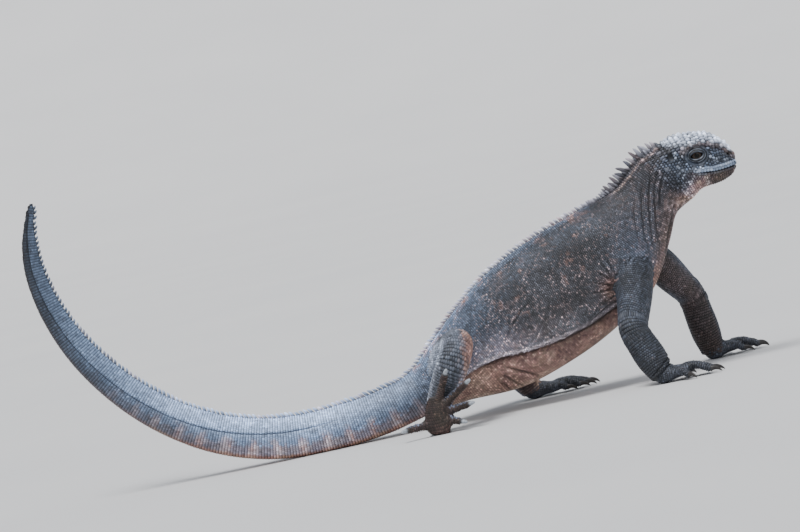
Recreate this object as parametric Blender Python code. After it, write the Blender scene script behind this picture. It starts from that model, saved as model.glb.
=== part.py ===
"""A marine iguana at life size, standing with its chest raised and its tail curled up behind.

Metres, +Z up. The animal faces +X and its right side is towards -Y. The floor is z = 0.
Every form is lofted through rows: each row is a flat cross-section, given by the middle of its
outer edge, the middle of its inner edge and its half width. The body's outer edge is the back.
"""

import math
import random

import bmesh
import bpy
import numpy as np
from mathutils import Vector

MM = 0.001
GAP = 0.3  # mm, left between nodes that meet
SINK = 1.6  # mm that a spine's or scale's root goes into what it grows from
SEED = 11

# Head, neck and trunk: back x, z, belly x, z, half width, widest level, roof and keel exponents.
# The widest level runs from -1 at the belly to 1 at the back. An exponent of 2 is an ellipse.
TRUNK = [
    (251.3, 138.2, 250.9, 133.4, 4.6, 0.00, 2.3, 2.2),  # snout
    (249.9, 142.4, 249.4, 130.8, 7.8, -0.05, 2.3, 2.2),
    (247.8, 147.6, 246.8, 128.2, 9.6, -0.10, 2.3, 2.1),  # nostrils
    (243.2, 153.8, 243.0, 126.2, 11.4, -0.12, 2.4, 2.1),
    (236.4, 159.6, 238.4, 124.8, 13.4, -0.10, 2.6, 2.1),
    (224.3, 162.5, 231.0, 124.0, 16.0, -0.10, 2.7, 2.2),  # eyes
    (209.7, 162.8, 223.8, 122.8, 17.8, -0.20, 2.4, 2.3),  # jowls
    (199.2, 158.6, 217.5, 118.4, 16.6, -0.12, 2.1, 2.2),  # nape
    (183.6, 151.6, 209.5, 114.0, 14.6, 0.00, 1.9, 2.0),
    (166.8, 137.2, 202.2, 108.0, 15.8, 0.00, 1.8, 2.0),  # neck
    (154.5, 131.6, 195.6, 94.0, 19.6, -0.05, 1.8, 2.0),
    (137.9, 127.2, 177.7, 63.5, 26.5, -0.05, 1.9, 2.1),  # shoulders
    (103.1, 115.9, 148.0, 42.5, 30.0, -0.18, 1.9, 2.2),
    (64.7, 97.9, 112.1, 25.8, 31.5, -0.28, 1.9, 2.3),  # belly
    (34.7, 75.8, 70.0, 14.0, 26.8, -0.25, 1.9, 2.3),
    (13.2, 56.2, 31.2, 13.0, 18.6, -0.10, 1.9, 2.2),  # hips
    (-3.0, 41.8, 9.0, 10.4, 15.0, 0.00, 1.9, 2.0),
]
# Rows of TRUNK where the head, neck, chest, belly and hips are parted from one another.
HEAD_END, NECK_END, CHEST_END, BELLY_END, HIPS_END = 7.5, 10.2, 12.1, 13.6, 15.9

# The tail's middle line, x and z, from the hips to just short of the tip.
TAIL_LINE = [
    (-28, 18.0), (-55, 14.9), (-84, 14.2), (-112, 17.8), (-142, 27.6), (-169, 43.0), (-191.5, 61.6),
    (-210.4, 83.0), (-225, 105.0), (-235.6, 128.0), (-242, 150.0), (-244.6, 170.0), (-243.4, 188.0),
    (-240, 203.0),
]
TAIL_TIP = (-236.4, 213.3)
TAIL_DEPTH, TAIL_HALF_WIDTH = 31.0, 14.0
TAIL_CUTS = (18.4, 21.4, 24.4, 27.2)  # rows where one length of tail ends and the next begins

# The skin fold along the flank and the groove along the tail: row, level, depth.
FOLD = [(0, -0.30, 0), (10, -0.45, 0), (11, -0.60, 0.5), (12, -0.60, 1.5), (13, -0.54, 1.8),
        (14, -0.20, 1.4), (15, -0.05, 0.3), (17, -0.10, 0.5), (24, -0.12, 0.5), (29, -0.1, 0.3),
        (31, -0.1, 0.0)]

FOLDED = ("chest", "belly", "hips")  # the nodes that show the fold
RESTING = ("tail_1", "tail_2", "tail_3")  # the lengths of tail that reach the floor

EYE = Vector((224.6, 12.0, 146.9))  # left eye; the right one mirrors it in Y
EYE_RADIUS, LID_RADIUS = 5.0, 6.5
EYE_SLIT = (7.8, 4.8)  # length and height of the opening between the lids
EAR, EAR_RADIUS = Vector((206.7, 0, 149.6)), 3.4
NOSTRIL = Vector((247.0, 0, 143.6))
NOSE = (252.0, 0, 135.8)
MOUTH_CORNER, MOUTH_FRONT = (224.0, 134.6), (250.6, 134.6)  # x and z, at either end of one side
MOUTH_SAG, MOUTH_DEPTH, MOUTH_WIDTH = 1.2, 1.5, 1.1
CROWN_SCALES = (1.2, 6.2, 13)  # first row, last row and number of bands of scales on the crown
# Raised scales of the jowl: x, z, radius, height. The largest is the tubercle below the ear.
JOWL_SCALES = [(202.8, 141.4, 2.0, 1.6), (209, 135.5, 1.7, 1.1), (213, 138.5, 1.5, 1.0),
               (215.5, 133.8, 1.5, 1.0), (210.5, 142, 1.4, 1.0)]

# Crest spines: number, first row, last row, length at the first and the last, lean to the rear.
NAPE_CREST = (17, 7.0, 10.05, 4.2, 8.2, 0.22)  # its lengths: at the ends, and added in the middle
BACK_CREST = (50, 10.3, 15.9, 4.6, 3.3, 0.8)
TAIL_CREST = (84, 16.02, 30.8, 3.4, 1.7, 0.9)
WAISTED = 5.5  # mm, above which a spine has a waist half way up
SPINE_CLEARANCE = 0.4  # mm, between a spine and the cut at the end of its node

# Limbs: joints, and half depth and half width at root, upper middle, joint, lower middle, end.
ARM_GIRTH = [(10, 9), (13.2, 11), (10.4, 9.6), (10.8, 9.8), (7.6, 8.4)]
LEG_GIRTH = [(10, 9), (14.5, 12.5), (12.2, 11), (11.6, 10.3), (7.8, 7.8)]
RIGHT_ARM = [(170, -5, 92), (154, -48, 40), (167, -56, 5.7)]
LEFT_ARM = [(174, 5, 93), (204, 50, 49), (211, 58, 5.8)]
RIGHT_LEG = [(17, 0, 36), (42.7, -61.8, 68.5), (10, -55, 16)]
LEFT_LEG = [(19, 0, 36), (58, 54, 52), (79, 56, 6.0)]
# Rows of a limb where it leaves the trunk's stump, at its bend and where the hand or foot begins.
ARM_CUTS, LEFT_LEG_CUTS, RIGHT_LEG_CUTS = (1.5, 4, 7.0), (1.65, 4, 7.1), (1.3, 4, 7.7)

# Palms from the wrist: reach forward, height, half depth, half width.
HAND_PALM = [(-5, 0.2, 4.4, 5.8), (0.5, -0.6, 6.0, 8.4), (6.5, 0.4, 5.0, 9.4), (13, 0.8, 4.2, 10.2),
             (17.5, 0.4, 3.4, 8.6)]
FOOT_PALM = [(-5, 0.2, 4.4, 5.4), (0.5, -0.6, 6.0, 7.8), (7, 0.0, 5.0, 8.4), (14, -0.2, 4.2, 9.4),
             (18.5, -0.6, 3.4, 7.6)]
KNUCKLES = (-3.5, 0.6)  # where the digits leave the palm's end, forward and up
RIGHT_HAND_WAY, LEFT_HAND_WAY, LEFT_FOOT_WAY = (1, -0.03, 0), (1, 0.34, 0), (1, 0.1, 0)
UP = (0, 0, 1)

# The sole of the right hind foot, which is folded up: outer xyz, inner xyz, half width.
FOLDED_SOLE = [
    (6.0, -53.5, 4.0, 12.0, -65.5, 12.0, 7.6),
    (6.0, -65.0, -1.2, 11.0, -67.5, 10.0, 8.4),
    (7.0, -76.0, 2.2, 10.5, -69.0, 10.5, 9.4),
    (8.0, -78.8, 14.0, 9.0, -70.8, 14.5, 9.6),
    (9.4, -78.4, 24.0, 9.4, -71.8, 24.0, 8.6),
]
FOLDED_WAY, FOLDED_BACK = (0.12, 0, 0.99), (0, 1, 0)  # where its toes and its back point
FOLDED_KNUCKLES = (-4.5, 0)

# Digits, inner to outer: bearing from the foot's forward line, length, reach back of the root.
HAND_DIGITS = [(-48, 13, 4), (-20, 19, 0), (-2, 21.5, 0), (15, 20, 0), (52, 14, 5)]
FOOT_DIGITS = [(-30, 13, 2), (-15, 19, 0), (-1, 24, 0), (14, 29, 0), (58, 17, 9)]
FOLDED_DIGITS = [(-100, 12, 9), (-74, 19, 5), (-50, 24, 1), (-19, 23, 0), (98, 14, 12)]
TURN_RADIUS = 1.35  # of a knee or elbow, as a share of the limb's half depth there
DIGIT_RADII, DIGIT_SPREAD = (3.0, 2.3), 6.0
DIGIT_JOINTS = (0, 0.3, 0.55, 0.8, 1.0)
KNUCKLE_RISE, SHORT_DIGIT = 3.2, 15  # a shorter digit than this rises half as much
DIGIT_FLOOR = 0.9  # mm between the floor and a digit's end
FOLDED_DROP = 1.4
STUB_END = 2.5  # mm that a limb's round end reaches into the palm
CLAW_LENGTH, CLAW_RADIUS, CLAW_RISE, CLAW_TURN = 8.4, 1.75, math.radians(16), math.radians(72)

COLOURS = {
    "hide": ((0.055, 0.058, 0.064, 1), 0.62),
    "claw": ((0.05, 0.045, 0.04, 1), 0.35),
    "eye": ((0.02, 0.012, 0.008, 1), 0.12),
}


def clear_scene():
    for obj in list(bpy.data.objects):
        bpy.data.objects.remove(obj)


def material(name):
    found = bpy.data.materials.get(name)
    if found:
        return found
    colour, roughness = COLOURS[name]
    made = bpy.data.materials.new(name)
    made.use_nodes = True
    shader = made.node_tree.nodes["Principled BSDF"]
    shader.inputs["Base Color"].default_value = colour
    shader.inputs["Roughness"].default_value = roughness
    shader.inputs["Metallic"].default_value = 0
    return made


def unit(vector):
    return vector / np.linalg.norm(vector)


def slopes_of(rows):
    """The distance from each row to the next, and each row's slope along the form."""
    steps = np.linalg.norm(np.diff(rows[:, :6], axis=0), axis=1) / math.sqrt(2)
    runs = np.diff(rows, axis=0) / steps[:, None]
    slopes = np.empty_like(rows)
    slopes[0], slopes[-1] = runs[0], runs[-1]
    before, after = steps[:-1, None], steps[1:, None]
    slopes[1:-1] = (runs[:-1] * after + runs[1:] * before) / (before + after)
    return steps, slopes


class Loft:
    """A smooth form through rows of outer xyz, inner xyz, half width, level, roof, keel, fold."""

    def __init__(self, rows, sideways=None):
        self.rows = np.array(rows, float)
        self.last = len(rows) - 1
        self.sideways = sideways
        self.steps, self.slopes = slopes_of(self.rows)

    def row(self, at):
        """The row at a fractional place, on a smooth curve through the given rows."""
        at = min(max(at, 0.0), float(self.last))
        first = min(int(at), self.last - 1)
        t, step = at - first, self.steps[first]
        start, end = self.rows[first], self.rows[first + 1]
        leave, arrive = self.slopes[first] * step, self.slopes[first + 1] * step
        return (start * (2 * t**3 - 3 * t**2 + 1) + leave * (t**3 - 2 * t**2 + t)
                + end * (3 * t**2 - 2 * t**3) + arrive * (t**3 - t**2))

    def frame(self, at):
        row = self.row(at)
        outer, inner = row[:3], row[3:6]
        centre, rise = (outer + inner) / 2, (outer - inner) / 2
        if self.sideways is not None:
            return centre, rise, self.sideways, row
        step = 0.04
        ahead = self.row(min(at + step, self.last))
        behind = self.row(max(at - step, 0))
        run = (ahead[:3] + ahead[3:6] - behind[:3] - behind[3:6]) / 2
        return centre, rise, unit(np.cross(rise, run)), row

    def point(self, at, angle, lift=0.0):
        """Angle 0 is the outer edge, and it turns towards the side vector."""
        centre, rise, side, row = self.frame(at)
        half_width, level, roof, keel, fold_level, fold_depth = row[6:12]
        c, s = math.cos(angle), math.sin(angle)
        power = 2 / (roof if c > 0 else keel)
        across = half_width * math.copysign(abs(s) ** power, s)
        height = abs(c) ** power
        height = level + (1 - level) * height if c > 0 else level - (1 + level) * height
        above = height - fold_level
        reach = 0.16 if above >= 0 else 0.22
        lip = 1.0 if above >= 0 else -0.8
        across += math.copysign(fold_depth * lip * math.exp(-((above / reach) ** 2)), s) * abs(s)
        return centre + rise * height + side * (across + math.copysign(lift, s))

    def normal(self, at, angle):
        e = 0.02
        along = self.point(min(at + e, self.last), angle) - self.point(max(at - e, 0), angle)
        around = self.point(at, angle + e) - self.point(at, angle - e)
        found = unit(np.cross(along, around))
        outwards = self.point(at, angle) - self.frame(at)[0]
        return found if found @ outwards > 0 else -found

    def fold_angle(self, at):
        row = self.frame(at)[3]
        level, keel, fold_level = row[7], row[9], row[10]
        depth = max(level - fold_level, 0.001) / (1 + level)
        return math.acos(-min(depth, 0.99) ** (keel / 2))

    def angles(self, at, upper, lower, fold):
        """Half a ring from the back to the belly, with two points at the fold if there is one."""
        turn = self.fold_angle(at) if fold else math.pi / 2
        half = [turn * i / upper for i in range(upper)]
        half += [turn - 0.012, turn + 0.012] if fold else [turn]
        half += [turn + (math.pi - turn) * i / lower for i in range(1, lower + 1)]
        return half + [-a for a in half[-2:0:-1]]

    def ring(self, at, upper, lower, fold=False, shift=0.0):
        points = [self.point(at, a) for a in self.angles(at, upper, lower, fold)]
        if shift:
            centre, rise, side, _ = self.frame(at)
            ahead = self.frame(min(at + 0.1, self.last))[0] - self.frame(max(at - 0.1, 0))[0]
            across = unit(np.cross(rise, side))
            points = [p + across * math.copysign(shift, across @ ahead) for p in points]
        return points

    def at_length(self, start, end, spacing):
        """Rows from start to end, about spacing apart on the outer edge."""
        fine = np.linspace(start, end, 400)
        edge = np.array([self.row(a)[:3] for a in fine])
        run = np.concatenate([[0], np.cumsum(np.linalg.norm(np.diff(edge, axis=0), axis=1))])
        count = max(2, round(run[-1] / spacing) + 1)
        return list(np.interp(np.linspace(0, run[-1], count), run, fine))


def mesh_object(name, points, faces, colour="hide"):
    mesh = bpy.data.meshes.new(name)
    mesh.from_pydata([Vector(p) * MM for p in points], [], faces)
    grid = bmesh.new()
    grid.from_mesh(mesh)
    bmesh.ops.recalc_face_normals(grid, faces=grid.faces)
    if grid.calc_volume(signed=True) < 0:
        bmesh.ops.reverse_faces(grid, faces=grid.faces)
    grid.to_mesh(mesh)
    grid.free()
    mesh.shade_smooth()
    mesh.set_sharp_from_angle(angle=math.radians(50))
    made = bpy.data.objects.new(name, mesh)
    made.data.materials.append(material(colour))
    bpy.context.scene.collection.objects.link(made)
    return made


def skinned(name, rings, start_tip=None, end_tip=None, colour="hide"):
    """A closed mesh over rings of equal count, each end flat or drawn to a tip."""
    count = len(rings[0])
    points = [p for ring in rings for p in ring]
    faces = []
    for i in range(len(rings) - 1):
        for j in range(count):
            k = (j + 1) % count
            a, b = i * count, (i + 1) * count
            faces.append((a + j, a + k, b + k, b + j))
    for tip, base in ((start_tip, 0), (end_tip, (len(rings) - 1) * count)):
        ring = range(base, base + count)
        if tip is None:
            faces.append(tuple(ring))
            continue
        points.append(tip)
        apex = len(points) - 1
        faces += [(base + j, base + (j + 1) % count, apex) for j in range(count)]
    return mesh_object(name, points, faces, colour)


def largest_body(obj):
    """Keeps only the largest closed surface of a mesh."""
    grid = bmesh.new()
    grid.from_mesh(obj.data)
    unseen = set(grid.verts)
    shells = []
    while unseen:
        shell, edge = set(), [unseen.pop()]
        while edge:
            vert = edge.pop()
            shell.add(vert)
            near = {e.other_vert(vert) for e in vert.link_edges} & unseen
            unseen -= near
            edge.extend(near)
        shells.append(shell)
    keep = max(shells, key=len)
    bmesh.ops.delete(grid, geom=[v for v in grid.verts if v not in keep], context="VERTS")
    grid.to_mesh(obj.data)
    grid.free()


def combine(obj, pieces, operation="UNION", solver="MANIFOLD"):
    """One Boolean over a collection of closed meshes, applied, with its pieces then removed."""
    if not pieces:
        return obj
    group = bpy.data.collections.new("pieces")
    bpy.context.scene.collection.children.link(group)
    for piece in pieces:
        bpy.context.scene.collection.objects.unlink(piece)
        group.objects.link(piece)
    boolean = obj.modifiers.new("join", "BOOLEAN")
    boolean.operation = operation
    boolean.operand_type = "COLLECTION"
    boolean.collection = group
    boolean.solver = solver
    bpy.context.view_layer.update()
    graph = bpy.context.evaluated_depsgraph_get()
    joined = bpy.data.meshes.new_from_object(obj.evaluated_get(graph))
    obj.modifiers.clear()
    obj.data = joined
    for piece in pieces:
        bpy.data.objects.remove(piece)
    bpy.data.collections.remove(group)
    largest_body(obj)
    obj.data.shade_smooth()
    obj.data.set_sharp_from_angle(angle=math.radians(50))
    return obj


def box_between(name, low, high):
    corners = [(x, y, z) for x in (low[0], high[0]) for y in (low[1], high[1])
               for z in (low[2], high[2])]
    faces = [(0, 1, 3, 2), (4, 6, 7, 5), (0, 4, 5, 1), (2, 3, 7, 6), (0, 2, 6, 4), (1, 5, 7, 3)]
    return mesh_object(name, corners, faces)


def rest_on_floor(obj):
    """Cuts away what is below the floor, so the piece stands on a flat."""
    return combine(obj, [box_between("floor", (-300, -150, -30), (300, 150, 0))], "DIFFERENCE")


def ball(name, centre, radii, around=12, levels=7, colour="hide", axis=(0, 1, 0)):
    """An ellipsoid whose poles lie along an axis; radii are along the axis, then across it."""
    pole = unit(np.array(axis, float))
    east = unit(np.cross(pole, (0.0, 0.1, 1.0)))
    north = np.cross(east, pole)
    centre = np.array(centre, float)
    rings = []
    for i in range(1, levels):
        turn = math.pi * i / levels
        middle = centre + pole * radii[0] * math.cos(turn)
        size = math.sin(turn)
        rings.append([
            middle + size * (east * radii[1] * math.cos(a) + north * radii[2] * math.sin(a))
            for a in (2 * math.pi * j / around for j in range(around))
        ])
    return skinned(name, rings, centre + pole * radii[0], centre - pole * radii[0], colour)


def fold_at(row):
    at, level, depth = np.array(FOLD, float).T
    return np.interp(row, at, level), np.interp(row, at, depth)


def body_rows():
    """Rows from the snout to the tail's tip. The tail's depth and width taper by a formula."""
    rows = []
    for bx, bz, vx, vz, half, level, roof, keel in TRUNK:
        rows.append([bx, 0, bz, vx, 0, vz, half, level, roof, keel])
    line = np.array([((TRUNK[-1][0] + TRUNK[-1][2]) / 2, (TRUNK[-1][1] + TRUNK[-1][3]) / 2),
                     *TAIL_LINE, TAIL_TIP], float)
    run = np.concatenate([[0], np.cumsum(np.linalg.norm(np.diff(line, axis=0), axis=1))])
    share = run / run[-1]
    for i in range(1, len(line) - 1):
        heading = unit(line[i + 1] - line[i - 1])
        up = np.array((heading[1], -heading[0]))
        deep = TAIL_DEPTH / 2 * (1 - share[i] ** 1.9) ** 0.57
        half = TAIL_HALF_WIDTH * (1 - share[i]) ** 0.65
        back, belly = line[i] + up * deep, line[i] - up * deep
        rows.append([back[0], 0, back[1], belly[0], 0, belly[1], half, 0.05, 1.8, 2.1])
    return [row + list(fold_at(i)) for i, row in enumerate(rows)]


def spine_piece(name, root, out, back, length, thick, chord, lean):
    """A flattened, backward-leaning crest spine: a four-sided root, a waist and a sharp tip."""
    side = unit(np.cross(out, back))
    aim = unit(out + back * lean)
    rings = []
    waist = [(length * 0.55, 0.62)] if length > WAISTED else []
    for height, size in [(-SINK, 1.0), *waist]:
        centre = root + aim * height
        rings.append([centre + back * chord * size, centre + side * thick * size,
                      centre - back * chord * size, centre - side * thick * size])
    tip = root + aim * length + back * length * 0.14
    return skinned(name, rings, end_tip=tip)


def crest_table(body):
    """Every crest spine as row, length and lean, in order from the nape to the tail."""
    draw = random.Random(SEED)
    spines = []
    count, first, last, short, rise, lean = NAPE_CREST
    for i, at in enumerate(np.linspace(first, last, count)):
        share = min(1, 1.04 * i / (count - 1)) ** 0.85
        length = short + rise * math.sin(math.pi * share) ** 0.8
        spines.append((at, length * draw.uniform(0.88, 1.08), lean))
    for count, first, last, long, short, lean in (BACK_CREST, TAIL_CREST):
        edge = body.at_length(first, last, 1.0)
        for share in np.linspace(0, 1, count):
            length = long + (short - long) * share
            spines.append((edge[round(share * (len(edge) - 1))], length * draw.uniform(0.88, 1.1), lean))
    return spines


def spines_between(body, table, start, end):
    """The crest spines that root between two cuts, and are clear of both."""
    made = []
    low, high = body.frame(start), body.frame(end)
    cuts = []
    for (centre, rise, side, _), inwards in ((low, 1), (high, -1)):
        ahead = unit(np.cross(rise, side))
        ahead = ahead * math.copysign(1, ahead @ (high[0] - low[0])) * inwards
        cuts.append((centre, ahead))
    for at, length, lean in table:
        if not start < at < end:
            continue
        root = body.point(at, 0)
        out = unit(body.frame(at)[1])
        run = body.point(min(at + 0.05, body.last), 0) - body.point(at - 0.05, 0)
        back = unit(run - out * (run @ out))
        chord, thick = 0.52 + length * 0.11, 0.55 + length * 0.05  # half sizes at the root
        spine = spine_piece("spine", root, out, back, length, thick, chord, lean)
        reach = [np.array(v.co) / MM for v in spine.data.vertices]
        if any((p - centre) @ ahead < SPINE_CLEARANCE for p in reach for centre, ahead in cuts):
            bpy.data.objects.remove(spine)
            continue
        made.append(spine)
    return made


def body_node(name, body, start, end, spacing, upper, lower, fold=False, nose=None, tip=None):
    """One length of the body between two cuts, with the gap kept from the node before it."""
    stops = body.at_length(start, end, spacing)
    rings = [body.ring(at, upper, lower, fold) for at in stops]
    if nose is None:
        rings[0] = body.ring(stops[0], upper, lower, fold, shift=GAP)
    return skinned(name, rings, nose, tip)


def limb_rows(joints, girth):
    """Rows along a limb of two bones. The bend turns about a pivot inside it, so no rings cross."""
    root, bend, end = (np.array(p, float) for p in joints)
    first, second = unit(bend - root), unit(end - bend)
    out = unit(first - second)
    cosine = math.sqrt((1 + first @ second) / 2)
    depth, width = girth[2]
    turn_radius = TURN_RADIUS * depth
    pivot = bend - out * turn_radius / cosine
    up_first = unit(out - first * (out @ first))
    up_second = unit(out - second * (out @ second))
    turn = math.acos(up_first @ up_second)

    def row(centre, up, deep, half):
        return [*(centre + up * deep), *(centre - up * deep), half, 0, 2.1, 2.1, -0.5, 0]

    rows = [row(root, up_first, *girth[0]),
            row(root + (bend - root) * 0.45, up_first, *girth[1])]
    for share in (0.0, 0.25, 0.5, 0.75, 1.0):
        up = unit(up_first * math.sin((1 - share) * turn) + up_second * math.sin(share * turn))
        rows.append(row(pivot + up * turn_radius, up, depth, width))
    rows += [row(bend + (end - bend) * 0.72, up_second, *girth[3]),
             row(end, up_second, *girth[4])]
    return rows


def palm_loft(limb, forward, palm):
    """The palm or sole that stands on the floor at a limb's end and points forward."""
    forward, normal = unit(np.array(forward, float)), np.array(UP, float)
    wrist = limb.frame(limb.last)[0]
    rows = []
    for reach, height, deep, half in palm:
        centre = wrist + forward * reach + normal * height
        rows.append([*(centre - normal * deep), *(centre + normal * deep), half,
                     0, 2.2, 2.2, -0.5, 0])
    return Loft(rows)


def digit_pieces(name, root, forward, normal, outwards, digits, floor=True):
    """Each digit as a closed tube, with the claw that its flat end meets made as a node."""
    tubes = []
    for number, (bearing, length, back) in enumerate(digits, 1):
        turn = math.radians(bearing)
        aim = forward * math.cos(turn) + outwards * math.sin(turn)
        start = root - forward * back + outwards * math.sin(turn) * DIGIT_SPREAD
        wide, narrow = DIGIT_RADII
        knuckle = KNUCKLE_RISE if length > SHORT_DIGIT else KNUCKLE_RISE / 2
        drop = start[2] - narrow - DIGIT_FLOOR if floor else FOLDED_DROP
        line, radii = [], []
        for share in DIGIT_JOINTS:
            arch = knuckle * math.sin(math.pi * share ** 0.8) - drop * share
            line.append(start + aim * length * share + normal * arch)
            radii.append(wide + (narrow - wide) * share + 0.28 * math.sin(share * math.pi * 3) ** 2)
        tubes.append(tube(f"{name}_digit", line, radii, normal, 8))
        claw_piece(f"{name}_claw_{number}", line, normal, floor)
    return tubes


def tube(name, line, radii, normal, sides):
    line = [np.array(p) for p in line]
    rings = []
    for i, centre in enumerate(line):
        run = unit(line[min(i + 1, len(line) - 1)] - line[max(i - 1, 0)])
        side = unit(np.cross(run, normal))
        up = np.cross(side, run)
        rings.append([
            centre + radii[i] * (up * math.cos(a) * 0.94 + side * math.sin(a))
            for a in (2 * math.pi * (j + 0.5) / sides for j in range(sides))
        ])
    return skinned(name, rings)


def claw_piece(name, line, normal, floor):
    """A claw that leaves the digit's end face, rises a little and hooks down to a point."""
    end, before = np.array(line[-1]), np.array(line[-2])
    run = unit(end - before)
    side = unit(np.cross(run, normal))
    up = np.cross(side, run)
    heading = CLAW_RISE + (math.asin(max(-0.9, min(0.9, -(run @ normal)))) if floor else 0)
    steps, rings = 4, []
    centre = end + run * (GAP + 0.001)
    for i in range(steps):
        share = i / steps
        size = CLAW_RADIUS * (1 - share) ** 0.75
        angle = 0 if i == 0 else heading - CLAW_TURN * share
        over = up * math.cos(angle) - run * math.sin(angle)
        rings.append([
            centre + size * (over * math.cos(a) * 1.15 + side * math.sin(a) * 0.8)
            for a in (2 * math.pi * (j + 0.5) / 6 for j in range(6))
        ])
        step_angle = heading - CLAW_TURN * (share + 0.5 / steps)
        step = run * math.cos(step_angle) + up * math.sin(step_angle)
        centre = centre + step * CLAW_LENGTH / steps
    return skinned(name, rings, end_tip=centre, colour="claw")


def limb_nodes(name, parts, joints, girth, cuts):
    """Makes the limb's two bone lengths as nodes, and returns its form and the trunk's stump."""
    loft = Loft(limb_rows(joints, girth))
    out_of_body, bend, end = cuts
    stump = skinned("stump", [loft.ring(at, 4, 4) for at in (0, out_of_body * 0.5, out_of_body)])
    upper = [loft.ring(at, 4, 4) for at in np.linspace(out_of_body, bend, 6)]
    upper[0] = loft.ring(out_of_body, 4, 4, shift=GAP)
    lower = [loft.ring(at, 4, 4) for at in np.linspace(bend, end, 8)]
    lower[0] = loft.ring(bend, 4, 4, shift=GAP)
    skinned(f"{parts[0]}_{name}", upper)
    skinned(f"{parts[1]}_{name}", lower)
    return loft, stump


def extremity(name, side, loft, start, palm, forward, normal, knuckles, digits, floor=True):
    """A hand or foot: the limb's last stretch, the palm and the digits, in one node."""
    forward, normal = unit(np.array(forward, float)), unit(np.array(normal, float))
    forward = unit(forward - normal * (forward @ normal))
    outwards = np.cross(forward, normal) * (1 if side == "right" else -1)
    root = palm.frame(palm.last)[0] + forward * knuckles[0] + normal * knuckles[1]
    tubes = digit_pieces(f"{name}_{side}", root, forward, normal, outwards, digits, floor)
    node = stub(f"{name}_{side}", loft, start)
    combine(node, tubes + [rounded("palm", palm, 7 if floor else 9)])
    rest_on_floor(node)


def stub(name, loft, start):
    """The limb's last stretch, from its cut face to a round end inside the palm."""
    rings = [loft.ring(at, 4, 4) for at in np.linspace(start, loft.last, 3)]
    rings[0] = loft.ring(start, 4, 4, shift=GAP)
    centre, rise, side, _ = loft.frame(loft.last)
    onward = unit(centre - loft.frame(start)[0])
    return skinned(name, rings, end_tip=centre + onward * STUB_END)


def rounded(name, loft, count):
    """A whole loft with a short point at each end."""
    rings = [loft.ring(at, 4, 4) for at in np.linspace(0, loft.last, count)]
    first, second = loft.frame(0)[0], loft.frame(0.2)[0]
    last, before = loft.frame(loft.last)[0], loft.frame(loft.last - 0.2)[0]
    return skinned(name, rings, first - unit(second - first) * 2, last + unit(last - before) * 2)


def mirrored(point, side):
    return np.array((point[0], point[1] * side, point[2]), float)


def surface_at(body, x, z, side):
    """The head's surface at a given x and z: row, angle and point."""
    best = None
    for at in np.linspace(0, 9, 91):
        for angle in np.linspace(0.1, 3.0, 59):
            p = body.point(at, angle)
            miss = (p[0] - x) ** 2 + (p[2] - z) ** 2
            if best is None or miss < best[0]:
                best = (miss, at, angle)
    _, at, angle = best
    sense = side * math.copysign(1, body.point(at, angle)[1])
    return at, angle * sense


def mouth_cutter(body):
    """A thin wedge that follows the mouth line round the snout from corner to corner."""
    path = []
    corner, ahead = np.array(MOUTH_CORNER), np.array(MOUTH_FRONT)
    for share in np.linspace(0, 1, 15):
        x, z = corner + (ahead - corner) * share
        z -= MOUTH_SAG * math.sin(math.pi * share)
        at, angle = surface_at(body, x, z, 1)
        spot, out = body.point(at, angle), body.normal(at, angle)
        out = unit(np.array((out[0], out[1], 0)))
        path.append((np.array((spot[0], spot[1], z)), out))
    front = (np.array((NOSE[0] - 0.1, 0, MOUTH_FRONT[1] - 0.3)), np.array((1.0, 0, 0)))
    both = path + [front] + [(p * (1, -1, 1), n * (1, -1, 1)) for p, n in reversed(path)]
    up = np.array((0, 0, 1.0))
    rings = []
    for i, (spot, out) in enumerate(both):
        fade = min(1.0, 0.35 + 0.65 * min(i, len(both) - 1 - i) / 2)
        wide = MOUTH_WIDTH * fade
        rings.append([spot + out * 1.5 + up * wide, spot + out * 1.5 - up * wide,
                      spot - out * MOUTH_DEPTH * fade])
    return skinned("mouth", rings)


def lid_slit(centre, side):
    """An almond-shaped plug that opens the lids in front of the eyeball."""
    length, height = EYE_SLIT
    outline = []
    for i in range(12):
        a = 2 * math.pi * i / 12
        x = math.cos(a) * length / 2
        z = math.copysign(abs(math.sin(a)) ** 1.25, math.sin(a)) * height / 2
        outline.append((x, z + 0.04 * x))
    rings = [[centre + np.array((x, side * reach, z)) for x, z in outline] for reach in (2.0, 9.0)]
    return skinned("slit", rings)


def head_scales(body):
    """The raised conical scales of the crown, brow, snout and jowl, set on the head's surface."""
    draw = random.Random(SEED)
    made = []
    first, last, bands = CROWN_SCALES
    for at in np.linspace(first, last, bands):
        radius = 1.55 + 0.36 * math.sin(math.pi * (at - first) / (last - first))
        count = 5 if at < 2.5 else 7
        for j in range(count):
            angle = (j - (count - 1) / 2) * 2.05 / count + draw.uniform(-0.05, 0.05)
            row = at + draw.uniform(-0.08, 0.08) + 0.2 * (j % 2)
            radius_here, height = radius * draw.uniform(0.85, 1.1), draw.uniform(1.3, 2.1)
            made.append(cone_scale(body, row, angle, radius_here, height))
    for side in (-1, 1):
        for x, z, radius, height in JOWL_SCALES:
            at, angle = surface_at(body, x, z, side)
            made.append(cone_scale(body, at, angle, radius, height))
    return made


def cone_scale(body, at, angle, radius, height):
    spot, out = body.point(at, angle), body.normal(at, angle)
    east = unit(np.cross(out, (0.3, 0.1, 0.9)))
    north = np.cross(out, east)
    turns = [2 * math.pi * k / 6 for k in range(6)]
    foot = radius * (1 + SINK / (2 * height))
    ring = [spot - out * SINK + foot * (east * math.cos(a) + north * math.sin(a)) for a in turns]
    return skinned("scale", [ring], end_tip=spot + out * height)


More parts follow.
